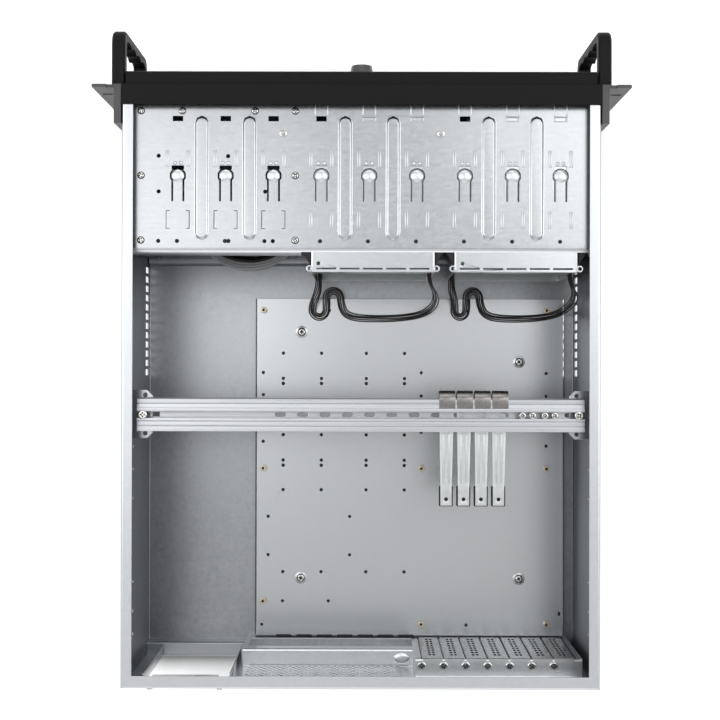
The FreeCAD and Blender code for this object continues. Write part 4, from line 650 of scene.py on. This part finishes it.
# Screws: one of each kind is modelled, and copies stand in their places
screwKinds = {  # the head's and recess's half widths, the shank's length and the washer's radius
    "case": {"head": 2.8, "recess": 2.1, "drop": 3.0},
    "tray": {"head": 3.3, "recess": 2.0, "drop": 6.0, "washer": 4.3},
    "slot": {"head": 4.0, "recess": 2.3, "drop": 3.0},
    "bar": {"head": 4.2, "recess": 2.4, "drop": 8.0},
    "spare": {"head": 3.0, "recess": 1.7, "drop": 4.0},
}
screwShape = {"height": 1.9, "crown": 0.55, "roundness": 0.62, "crossHalf": 0.6, "crossFloor": 0.12,
              "cone": (0.9, 1.3), "shank": 1.5, "dark": (0.1, 0.93)}


# A pan head with a cross recess, standing at the origin
def makeScrew(kind):
    look = {**screwShape, **screwKinds[kind]}
    height = look["height"]
    top = rod(look["head"], (0, 0, height / 2), height, sides=28)
    choose(top)
    bpy.ops.object.mode_set(mode="EDIT")
    bpy.ops.mesh.select_all(action="DESELECT")
    bpy.ops.object.mode_set(mode="OBJECT")
    for edge in top.data.edges:
        ends = [top.data.vertices[index].co.z for index in edge.vertices]
        edge.select = min(ends) > height * 0.9 * mm
    bpy.ops.object.mode_set(mode="EDIT")
    bpy.ops.mesh.bevel(offset=height * look["crown"] * mm, segments=4, profile=look["roundness"])
    bpy.ops.object.mode_set(mode="OBJECT")
    arm, half = look["recess"], look["crossHalf"]
    deep = (height * look["crossFloor"], height + 1)
    for x, y in ((arm, half), (half, arm)):
        cutAway(top, [block((-x, x), (-y, y), deep)])
    bottom, mouth = look["cone"]
    cutAway(top, [rod(bottom, (0, 0, height * 0.55), height, sides=8, tip=mouth)])
    parts = [top, rod(look["shank"], (0, 0, -look["drop"] / 2), look["drop"], sides=12)]
    if "washer" in look:
        parts.append(bevelled(rod(look["washer"], (0, 0, 0.35), 0.7, sides=32), 0.25, 2))
    screw = smoothed(joined(parts, "screw"), 30)
    addFinishes(screw, "screwSteel", "paintedShade")
    wide, reach = half + 0.02, arm + 0.05
    low, high = [share * height for share in look["dark"]]
    for face in screw.data.polygons:  # the recess is dark with painted shade
        x, y, z = [abs(value) / mm for value in face.center]
        inCross = (x < wide and y < reach) or (y < wide and x < reach) or x * x + y * y < 1.1
        face.material_index = int(inCross and low < z < high)
    return screw


def placeScrews(kind, places, name, twist=37):
    model = makeScrew(kind)
    copies = []
    for number, place in enumerate(places):
        copies.append(moved(turned(copied(model, (0, 0, 0)), number * twist, "Z"), place))
    bpy.data.objects.remove(model)
    return joined(copies, name)


plateTop = 163.0
trayTop = 10.5
barTop = 159.0
plateScrews = [(161.4, -224), (95.9, -224)]
plateScrews += [(x, y) for x in (198.6, 59.5) for y in (-224, -165.7, -107.3)]
trayScrews = [(59.6, -28.4), (-157.3, 1.1), (59.9, 216.8), (-157.3, 217.3)]
rearScrews = {"x": (188.5, 126.0), "y": 294.0, "z": 169.0}
slotScrews = {"first": -56.74, "pitch": 20.32, "count": 7, "y": 282.4, "z": 124.9}
barScrews = {"y": 50.1, "ends": (197.0, -197.0), "spares": (-146.0, -155.0, -166.2, -175.1)}


def makeCaseScrews():
    onPlate = placeScrews("case", [(x, y, plateTop) for x, y in plateScrews], "onPlate")
    onTray = placeScrews("tray", [(x, y, trayTop) for x, y in trayScrews], "onTray")
    onRear = placeScrews("case", [(x, 0, 0) for x in rearScrews["x"]], "onRear", 20)
    for vertex in onRear.data.vertices:
        x, y, z = vertex.co
        vertex.co = Vector((x, z + rearScrews["y"] * mm, rearScrews["z"] * mm - y))
    finish(joined([onPlate, onTray, onRear], "caseScrews"), None, ("case_screws",))


def makeSlotAndBarScrews():
    look = slotScrews
    places = [(look["first"] - look["pitch"] * k, look["y"], look["z"]) for k in range(look["count"])]
    finish(placeScrews("slot", places, "slotScrews", 29), None, ("slot_screws",))
    ends, spares = [[(x, barScrews["y"], barTop) for x in barScrews[key]] for key in ("ends", "spares")]
    both = [placeScrews("bar", ends, "barEnds"), placeScrews("spare", spares, "barSpares", 43)]
    finish(joined(both, "barScrews"), None, ("bar_screws",))


makeCaseScrews()
makeSlotAndBarScrews()
print("screws are placed")


# Chassis: floor, walls and rims
walls = {"rim": 172.5, "floor": 6, "skin": 213.5, "inside": 212.8, "rivetZ": 110.0,
         "rivetY": (80.8, 102.0, 129.1, 207.4, 234.7, 256.0),
         "slit": (3, 0.45), "slits": (  # x, y, z and length
             (213.4, 20.5, 70.0, 5), (213.4, 80.5, 62.0, 6), (213.4, 78.5, 40.0, 6),
             (213.4, 90.5, 44.0, 5), (213.4, 140.0, 58.0, 5), (-213.4, 20.5, 70.0, 5))}


def makeChassis():
    deep, half = walls["slit"]
    slits = [block(about(x, deep), about(y, half), about(z, length / 2))
             for x, y, z, length in walls["slits"]]
    shell = dressed("chassis_shell", "floorZinc", "zinc_steel", 0.3, 2, slits)
    addFinishes(shell, "shadedZincCopy", "litZincCopy")
    for face in shell.data.polygons:  # painted light and shade: the rims on top take the lit zinc copy, the walls' inner sides the shaded one
        x, y, z = [value / mm for value in face.center]
        if z > walls["rim"]:
            face.material_index = 2
        elif z > walls["floor"] and abs(x) < walls["skin"] and abs(face.normal.x) > 0.7:
            face.material_index = 1
    rivets = []
    for side in (1, -1):
        for y in walls["rivetY"]:
            rivet = turned(dome(1.7, 1.0, 14, 8), 90, "Y")
            rivets.append(moved(rivet, (side * walls["inside"], y, walls["rivetZ"])))
    finish(smoothed(joined(rivets, "wallRivets"), 60), "brightSteel")


makeChassis()
print("chassis is dressed")


# Motherboard tray
tray = {
    "coolerColumns": (77.8, -5.0),
    "coolerPair": 38.1,
    "coolerRows": (-7.1, 18.1, 74.2, 99.5, 129.1, 210.9),
    "columns": (77.8, 39.7, -5.0, -43.1),
    "addedRows": (23.1, 104.7),
    "others": [(97.8, 12.2), (97.8, 34.5), (97.8, 80.9), (-59.8, 12.2), (-59.8, 35.4), (-59.8, 71.6),
               (-184.5, 12.5), (-184.5, 35.4), (-184.5, 84.9), (92.6, 155.7), (11.2, 155.7),
               (92.6, 194.0), (11.2, 194.0), (78.1, 240.0), (32.4, 240.0), (98.8, 263.4),
               (-105.0, 263.6), (32.1, -49.9), (-105.5, -49.6)],
    "holes": (1.7, 1.6),
    "slotY": (273.3, 275.3),
    "slotX": [76.9 - 20.32 * k for k in range(7)],
    "slotHalf": 7.4,
    "notch": ((-199.0, -196.4), (250.2, 254.0)),
    "bossRadius": 6.0,
}


def makeTray():
    cut = (trayTop - 4, trayTop + 1)
    low, high = tray["slotY"]
    added = [(x, y) for x in tray["columns"] for y in tray["addedRows"]]
    cutters = [rod(radius, (x, y, trayTop), 6, sides=14)
               for radius, places in zip(tray["holes"], (added, tray["others"])) for x, y in places]
    cutters += [block(about(x, tray["slotHalf"]), (low, high), cut) for x in tray["slotX"]]
    cutters.append(block(*tray["notch"], cut))
    pairs = [(x, y) for column in tray["coolerColumns"] for x in (column, column - tray["coolerPair"])
             for y in tray["coolerRows"]]
    # painted shade: dark discs under the holes and dark strips under the rear slots
    holeShades = [rod(2.5, (x, y, trayTop - 2.2), 1.6, sides=12)
               for x, y in pairs + tray["others"] + added]
    for x in tray["slotX"]:
        holeShades.append(block(about(x, 8), (low - 0.6, high + 0.2), (trayTop - 3, trayTop - 1.4)))
    finish(smoothed(joined(holeShades, "trayHoleShades")), "paintedShade")
    plate = cutAway(mergedCopy("motherboard_tray", "boardTray"), cutters)
    evened(smoothed(eased(plate, 0.2)))
    bosses = []
    for x, y in trayScrews:  # a shallow pressed dish round each tray screw
        boss = rod(tray["bossRadius"], (x, y, trayTop + 0.25), 0.5, sides=36)
        bosses.append(smoothed(bevelled(boss, 0.35, 2)))
    finish(joined([plate] + bosses, "boardTray"), "trayZinc", ("motherboard_tray",))


# Each hexagonal post has a threaded bore, dark with painted shade
def makeStandoffs():
    posts = dressed("standoffs", "brass", "brass", 0.3, 2)
    addFinishes(posts, "paintedShade")
    groups = []
    for vertex in posts.data.vertices:
        near = [group for group in groups if (group[0] - vertex.co.xy).length < 8 * mm]
        if near:
            near[0].append(vertex.co.xy)
        else:
            groups.append([vertex.co.xy])
    middles = [Vector([(min(values) + max(values)) / 2 for values in zip(*group)]) for group in groups]
    for face in posts.data.polygons:
        if min((middle - face.center.xy).length for middle in middles) < 1.28 * mm:
            face.material_index = 1


makeTray()
makeStandoffs()
print("tray is dressed")


# Front: each node's finish, slot, eased edge and the edge's segments
frontLooks = {
    "front_frame": ("blackCoat", "black_coat", 0.5, 3),
    "front_door": ("blackCoat", "black_coat", 0.6, 3),
    "lock_body": ("lockChrome", "nickel", 0.8, 3),
    "lock_plug": ("nickel", "nickel", 0.3, 2),
    "lock_cam": ("brightSteel", "zinc_steel", 0.2, 1),
    "handle_left": ("blackCoat", "black_coat", 0.9, 3),
    "rack_ear_left": ("darkCoat", "dark_coat", 0.35, 2),
    "handle_right": ("blackCoat", "black_coat", 0.9, 3),
    "rack_ear_right": ("darkCoat", "dark_coat", 0.35, 2),
    "control_panel": ("blackPlastic", "black_plastic", 0.3, 2),
    "power_button": ("blackPlastic", "black_plastic", 0.4, 3),
    "reset_button": ("blackPlastic", "black_plastic", 0.3, 2),
    "front_lights": ("lampClear", "lamp_clear", 0.3, 2),
    "usb_sockets": ("nickel", "nickel", 0.08, 1),
    "control_board": ("boardGreen", "board_green", 0.15, 1),
    "hinge_pins": ("nickel", "nickel", 0.25, 2),
}
for node in ("bay_cover_1", "bay_cover_2", "bay_cover_3", "cage_bezel_left", "cage_bezel_right"):
    frontLooks[node] = ("blackPlastic", "black_plastic", 0.3, 2)
dressAll(frontLooks)
print("front is dressed")


# Drive bays: the top plate with its beads, spring fingers and lanced tabs
bays = {"count": 9, "pitch": 43.1, "centre": -7.0, "fingerY": -165.5, "openWindows": (0, 1, 2, 3, 6),
        "holeRadius": 1.75, "firstCovered": 3}
plateHoles = [(182.7, -183.4), (182.7, -151.2), (120.1, -183.1), (86.6, -151.2)]
plateHoles += [(x, -106.6) for x in (182.9, 166.0, 122.8, 87.2, 79.6, 37.1, -6.1, -49.3, -92.5,
                                     -135.8, -179.0)]
twinHole = (119.6, -106.6)  # it runs into a neighbour, so it is cut on its own
tabs = {"reach": 10.4, "rows": ((-188.8, -173.2), (-133.9, -118.0)), "slit": 0.2, "foot": 3.0,
        "step": 1.9}
fingers = {"pad": (5.6, 1.5), "nub": (1.7, 1.3), "nubX": 2.6, "nubY": -176.9,
           "notch": (5.6, (-174.6, -171.4))}
gaps = {"depth": (-1.1, -0.75), "x": 5.1, "half": 0.42, "y": (-160.5, -142.7), "ring": (7.2, 6.3),
        "mouth": (4.7, (-164, -150))}
frames = {"x": 5.6, "channel": (0.7, (-233.5, -219.8), 1.4, 0.8), "rows": (-218.9, -214.9),
          "half": 5.9, "sides": (0.5, (-219.2, -214.6), 1.0, 0.7)}


def bayX(index):
    return bays["centre"] + ((bays["count"] - 1) / 2 - index) * bays["pitch"]


# Narrow cuts in the sheet, as a lance leaves round a tab: one long side and two short ends
def lanceCuts(x, side):
    edge, half = x + side * tabs["reach"], tabs["slit"]
    low, high = tabs["rows"][1]
    inner = edge - side * tabs["foot"]
    long = block(about(edge, half), (low, high), (plateTop - 0.8, plateTop + 1))
    ends = [block((edge, inner), about(y, half), (plateTop - 0.75, plateTop + 1.1)) for y in (low, high)]
    return long, ends


# A thin rounded ridge pressed up from the sheet
def ridge(x, half, y, width, height):
    piece = block(about(x, half), y, (plateTop - 0.3, plateTop + height))
    return bevelled(piece, min(width, height) * 0.48, 2)


# The shoulders of the pressed beads are round
def roundShoulders(plate, width):
    mesh = plate.data
    faces = {}
    for face in mesh.polygons:
        for key in face.edge_keys:
            faces.setdefault(key, []).append(face.normal)
    choose(plate)
    bpy.ops.object.mode_set(mode="EDIT")
    bpy.ops.mesh.select_mode(type="EDGE")
    bpy.ops.mesh.select_all(action="DESELECT")
    bpy.ops.object.mode_set(mode="OBJECT")
    for edge in mesh.edges:
        sides = faces.get(edge.key, [])
        low = min(mesh.vertices[index].co.z for index in edge.vertices)
        if len(sides) == 2 and low > (plateTop - 0.1) * mm and min(side.z for side in sides) > 0.3:
            edge.select = 38 < math.degrees(sides[0].angle(sides[1])) < 60
    bpy.ops.object.mode_set(mode="EDIT")
    bpy.ops.mesh.bevel(offset=width * mm, segments=3, profile=0.5, clamp_overlap=False)
    bpy.ops.object.mode_set(mode="OBJECT")
    return plate


def makeTopPlate():
    plate = roundShoulders(mergedCopy("drive_plate_top", "topPlate"), 0.8)
    radius = bays["holeRadius"]
    cutAway(plate, [rod(radius, (x, y, plateTop - 0.5), 6, sides=16) for x, y in plateHoles])
    cutAway(plate, [rod(radius, (*twinHole, plateTop - 0.5), 6.4, sides=16)])
    half, y = fingers["notch"]
    cutAway(plate, [block(about(bayX(k), half), y, (plateTop - 3, plateTop + 2))
                    for k in range(bays["count"])])
    longs, ends = zip(*[lanceCuts(bayX(k), side) for k in range(bays["firstCovered"])
                        for side in (-1, 1)])
    cutAway(plate, longs)
    cutAway(plate, [one for pair in ends for one in pair])
    dish = screwKinds["case"]["head"]
    cutAway(plate, [rod(dish - 0.1, (x, y, plateTop - 0.1), 1.0, sides=28, tip=dish + 1.1)
                    for x, y in plateScrews])
    return evened(smoothed(eased(plate, 0.17), 30))


# The spring finger's round pad is domed, and two nubs stand before it; both take the brighter rear zinc
# as a painted highlight
def makeFingers():
    parts = []
    pad = dome(*fingers["pad"], 32, 14)
    nub = dome(*fingers["nub"], 18, 10)
    for k in range(bays["count"]):
        parts.append(copied(pad, (bayX(k), bays["fingerY"], plateTop - 0.1)))
        for x in about(bayX(k), fingers["nubX"]):
            parts.append(copied(nub, (x, fingers["nubY"], plateTop - 0.1)))
    for model in (pad, nub):
        bpy.data.objects.remove(model)
    finish(smoothed(joined(parts, "fingerPads"), 60), "rearZinc")


# Painted shade: over the cages a dark strip lies along the middle of the gap round each finger, and dark
# discs lie under the plate's holes there
def makeGapShades():
    parts = []
    low, high = [plateTop + depth for depth in gaps["depth"]]
    half, y = gaps["mouth"]
    for k in range(bays["firstCovered"], bays["count"]):
        x = bayX(k)
        for at in about(x, gaps["x"]):
            parts.append(block(about(at, gaps["half"]), gaps["y"], (low, high)))
        middle = (x, bays["fingerY"], (low + high) / 2)
        ring = rod(gaps["ring"][0], middle, high - low, sides=40)
        cutAway(ring, [rod(gaps["ring"][1], middle, 2, sides=40)])
        cutAway(ring, [block(about(x, half), y, (low - 1, high + 1))])
        parts.append(ring)
    for x, y in plateHoles:
        if x < 50:
            parts.append(rod(bays["holeRadius"], (x, y, low), 0.6, sides=14))
    finish(joined(parts, "fingerGapShades"), "paintedShade")


# Ridges beside the lances, and the pressed channel ahead of the windows over the cages, in the lit zinc
# copy as a painted highlight
def makeRidges():
    parts = []
    for k in range(bays["count"]):
        x = bayX(k)
        covered = k >= bays["firstCovered"]
        for side in (-1, 1):
            for low, high in tabs["rows"] if covered else tabs["rows"][:1]:
                for step in (0, tabs["step"]):
                    at = x + side * (tabs["reach"] - step)
                    parts.append(ridge(at, 0.6, (low + 0.2, high - 0.2), 1.2, 0.6))
            if covered:
                parts.append(ridge(x + side * frames["x"], *frames["channel"]))
        if covered and k not in bays["openWindows"]:
            for y in frames["rows"]:
                parts.append(ridge(x, frames["half"], about(y, 0.5), 1.0, 0.7))
            for at in about(x, frames["x"]):
                parts.append(ridge(at, *frames["sides"]))
    finish(smoothed(joined(parts, "plateRidges"), 60), "litZincCopy")


roll = {"radius": 7.0, "y": -101.0, "from": 22.5, "end": -212.0, "keepY": (-101.6, -90),
        "keepZ": (161.75, 166)}


# The plate's rear edge rolls down over the cages too, as far as their tops let it
def makeRearRoll():
    x0, x1 = bayX(2) - roll["from"], roll["end"]
    middle = ((x0 + x1) / 2, roll["y"], plateTop - roll["radius"])
    tube = rod(roll["radius"], middle, x0 - x1, "x", 72)
    combined(tube, block((x0 + 1, x1 - 1), roll["keepY"], roll["keepZ"]), "INTERSECT")
    return evened(smoothed(tube, 30))


studs = {"x": (70.4, -71.6), "y": -203.8, "collar": (3.3, 0.4, 0.8), "post": (2.2, 3.4, 6.4)}


# A press-in stud: a collar on the sheet and a short round post with an eased top
def makeStuds():
    parts = []
    for x in studs["x"]:
        for key, sides, edge, segments in (("collar", 32, 0.3, 2), ("post", 24, 0.6, 3)):
            radius, up, tall = studs[key]
            part = rod(radius, (x, studs["y"], plateTop + up), tall, sides=sides)
            parts.append(bevelled(part, edge, segments))
    finish(smoothed(joined(parts, "studs"), 40), "nickel")


sheared = {"x": 207, "y": (-236.5, -104.5), "depth": (-1.15, -0.02), "area": 14}
rolledFrom = {"y": -104.6, "z": 155}


def makeBays():
    piece = joined([makeTopPlate(), makeRearRoll()], "topPlate")
    front, back = sheared["y"]
    low, high = [plateTop + depth for depth in sheared["depth"]]
    finish(piece, "zincSteel", ("drive_plate_top",))
    addFinishes(piece, "paintedCutShade", "litZincCopy")
    for face in piece.data.polygons:
        x, y, z = [value / mm for value in face.center]
        up = face.normal.z
        if y > rolledFrom["y"] and z > rolledFrom["z"] and 0.2 < up < 0.985:  # painted highlight: the roll's sloped faces take the lit zinc copy
            face.material_index = 2
        elif abs(x) < sheared["x"] and front < y < back and low < z < high:  # painted shade: the walls of cuts and holes take the dark cut shade
            face.material_index = int(up < 0.9 or face.area < sheared["area"] * mm * mm)
    makeStuds()
    makeGapShades()
    makeFingers()
    makeRidges()


makeBays()
dressAll({
    # the bottom plate takes the shaded zinc copy: painted shade
    "drive_plate_bottom": ("shadedZincCopy", "zinc_steel", 0.25, 1),
    "bay_divider_inner": ("zincSteel", "zinc_steel", 0.2, 1),
    "bay_divider_outer": ("zincSteel", "zinc_steel", 0.2, 1),
})
print("drive bays are made")


# Drive cages
cages = {"left": ((38.6, -86.8), 36.1), "right": ((-91.4, -86.7), -93.2)}  # a hole, and a window's middle
for side, (hole, window) in cages.items():
    cutters = [rod(1.7, (*hole, 161), 6, sides=16), block(about(window, 7), (-222, -211), (158, 164))]
    dressed("drive_cage_" + side, "cageZinc", "zinc_steel", 0.3, 2, cutters)
    dressed("cage_rails_" + side, "blackPlastic", "black_plastic", 0.6, 2)
    dressed("backplane_" + side, "boardGreen", "board_green", 0.15, 1)
dressed("harness_sockets", "socketWhite", "socket_white", 0.4, 2)
print("cages are dressed")


# Crossbar, brackets and card clamps
bar = {"grooves": ((39.9, 157.6), (55.8, barTop), (60.2, barTop)), "half": 203.5,
       "groove": (0.22, 0.35), "slot": ((183.5, 190.5), (47.9, 52.3), (140, 147))}
clamps = {"count": 4, "first": -78.2, "pitch": 16.0, "bend": 66.0, "boot": 115.5, "bendZ": 143.0,
          "bootZ": 138.8, "ribX": 2.5, "ribHalf": 0.9, "springTo": 48}


def makeBar():
    half, deep = bar["groove"]
    cutters = [block(about(0, bar["half"]), about(y, half), (top - deep, top + 1))
               for y, top in bar["grooves"]]
    cutters.append(block(*bar["slot"]))
    dressed("crossbar", "brushedAluminium", "bright_aluminium", 0.28, 2, cutters)
    for side in ("left", "right"):
        dressed("bar_bracket_" + side, "zincSteel", "zinc_steel", 0.3, 2)


# Two long ribs stiffen each clamp's arm and follow its slope
def clampRibs(x):
    ribs = []
    fall = (clamps["bootZ"] - clamps["bendZ"]) / (clamps["boot"] - clamps["bend"])
    for at in about(x, clamps["ribX"]):
        rib = block(about(at, clamps["ribHalf"]), (clamps["bend"] + 1, clamps["boot"] - 3), (-0.5, 0.55))
        choose(bevelled(rib, 0.5, 3))
        bpy.ops.object.mode_set(mode="EDIT")
        bpy.ops.mesh.select_all(action="SELECT")
        bpy.ops.mesh.bisect(plane_co=(0, 0.09, 0), plane_no=(0, 1, 0))
        bpy.ops.object.mode_set(mode="OBJECT")
        for vertex in rib.data.vertices:
            vertex.co.z += (clamps["bendZ"] + fall * (vertex.co.y / mm - clamps["bend"])) * mm
        ribs.append(smoothed(rib, 50))
    return ribs


def makeClamps():
    for number in range(clamps["count"]):
        node = "card_clamp_%d" % (number + 1)
        strip = smoothed(eased(mergedCopy(node, "strip"), 0.18), 40)
        ribs = clampRibs(clamps["first"] - number * clamps["pitch"])
        piece = joined([strip] + ribs, titleOf(node))
        finish(piece, "springSteel", (node,))
        addFinishes(piece, "clampZinc")
        for face in piece.data.polygons:
            if face.center.y > clamps["springTo"] * mm:
                face.material_index = 1
    dressed("clamp_feet", "rubber", "rubber", 0.5, 3)


makeBar()
makeClamps()
print("crossbar and clamps are made")


# Rear panel and slot covers
rear = {"face": 294.0, "holes": ((204.6, 46.0), (204.6, 100.0), (204.8, 138.0)), "holeRadius": 1.8,
        "lips": ((195.9, 196.9, 19.5, 158), (117.1, 118.1, 19.5, 158), (127, 187, 163.1, 164.1)),
        "lipY": (283.5, 293.2), "grille": ((-46.0, 107.0), (291.4, 292.5), (78.5, 158.0)), "rows": 13,
        "columns": 24, "firstX": 102.6, "firstZ": 82.5, "pitch": (6.0, 5.6), "ventRadius": 1.9,
        "dimple": (-39.6, 284.0, 74.4), "flat": 0.66, "collar": (-39.6, 284.0, 74.2), "collarFlat": 0.7,
        "flangeZ": 165, "shelfX": 112, "shelfZ": 60}
covers = {"count": 7, "first": -66.9, "pitch": 20.32, "width": 18.42, "low": 9.0, "top": 124.9,
          "y": (275.1, 276.0), "sheet": 0.9, "lip": 287.4, "dashRows": 8, "dashPitch": 11.6,
          "dashLow": 24.0, "dashLong": 6.8, "dashX": 1.9, "dashHalf": 1.2,
          "notch": (1.4, (280.4, 284.4)), "jointHalf": 0.28}


def flattened(piece, place, share):
    piece.data.transform(Matrix.Translation(inMetres(place)) @ Matrix.Diagonal((1, share, 1, 1)))
    return piece


def makeRearPanel():
    holes = [rod(rear["holeRadius"], (x, rear["face"], z), 8, "y", 16) for x, z in rear["holes"]]
    panel = dressed("rear_panel", "rearZinc", "zinc_steel", 0.3, 2, holes)
    addFinishes(panel, "shadedLedgeZinc", "litZincCopy", "brightZincCopy")
    for face in panel.data.polygons:  # painted light and shade on the upward faces: the supply's rim takes a shaded copy, the shelves a bright lit one and the flange the lit one
        if face.normal.z > 0.7:
            x, z = face.center.x / mm, face.center.z / mm
            onShelf = x < rear["shelfX"] and z > rear["shelfZ"]
            face.material_index = 2 if z > rear["flangeZ"] else 3 if onShelf else 1
    lips = [bevelled(block((x0, x1), rear["lipY"], (z0, z1)), 0.3, 2)
            for x0, x1, z0, z1 in rear["lips"]]
    finish(smoothed(joined(lips, "supplyLips")), "zincSteel")
    grille = block(*rear["grille"], "rearGrille")
    across, up = rear["pitch"]
    vents = []
    for row in range(rear["rows"]):
        for column in range(rear["columns"] + row % 2):
            x = rear["firstX"] - column * across + across / 2 * (row % 2)
            vents.append(rod(rear["ventRadius"], (x, 292, rear["firstZ"] + row * up), 4, "y", 10))
    cutAway(grille, vents)
    dimple = flattened(dome(8.0, 2.4, 36, 14), rear["dimple"], rear["flat"])
    collar = bevelled(rod(9.2, (0, 0, 0), 1.2, sides=40), 0.5, 2)
    flattened(collar, rear["collar"], rear["collarFlat"])
    finish(smoothed(joined([dimple, collar], "ledgeDimple"), 50), "rearZinc")
    finish(evened(smoothed(grille)), "rearZinc")


# A slot cover: an upright strip with two columns of dashes, bent over at the top under its screw
def makeCover():
    half, sheet, top = covers["width"] / 2, covers["sheet"], covers["top"]
    front, back = covers["y"]
    strip = block(about(0, half), (front, back), (covers["low"], top))
    dashes = []
    for row in range(covers["dashRows"]):
        z = covers["dashLow"] + row * covers["dashPitch"]
        for at in about(0, covers["dashX"]):
            dashes.append(block(about(at, covers["dashHalf"]), (front - 1.1, back - 0.15),
                                (z, z + covers["dashLong"])))
    cutAway(strip, dashes)
    tab = block(about(0, half), (front, covers["lip"]), (top - sheet, top))
    deep, y = covers["notch"]
    cutAway(tab, [block(about(at, deep), y, (122, 126)) for at in about(0, half)])
    bend = rod(sheet, (0, back, top - sheet), covers["width"], "x", 24)
    cover = joined([bevelled(strip, 0.15, 1), bevelled(tab, 0.2, 2), bend], "cover")
    evened(smoothed(cover))
    addFinishes(cover, "brightSteel", "paintedShade", "brightZincCopy")
    for face in cover.data.polygons:  # painted shade in the dashes, and a painted highlight on the tab's top
        x, y, z = [value / mm for value in face.center]
        inPocket = abs(abs(x) - covers["dashX"]) < 1.25 and 23.9 < z < 113
        face.material_index = int(inPocket and 275.12 < y < 275.9)
        if face.normal.z > 0.7 and z > 124:
            face.material_index = 2
    return cover


def makeSlotCovers():
    cover = makeCover()
    for number in range(covers["count"]):
        node = "slot_cover_%d" % (number + 1)
        piece = copied(cover, (covers["first"] - number * covers["pitch"], 0, 0), titleOf(node))
        finish(piece, None, (node,))
    bpy.data.objects.remove(cover)
    # painted shadow: dark strips stand in the gaps between the covers
    gapShadows = []
    for number in range(covers["count"] + 1):
        at = covers["first"] + (0.5 - number) * covers["pitch"]
        gapShadows.append(block(about(at, covers["jointHalf"]), (275.2, 275.95),
                            (covers["low"] + 3, covers["top"] - 1)))
    finish(joined(gapShadows, "coverGapShadows"), "paintedShade")


makeRearPanel()
makeSlotCovers()
print("rear is made")


# The rest of the nodes keep their own shape
for name in sorted(nodes):
    if not nodes[name].hide_render:
        nodes[name].data.materials.clear()
        addFinishes(nodes[name], "zincSteel")
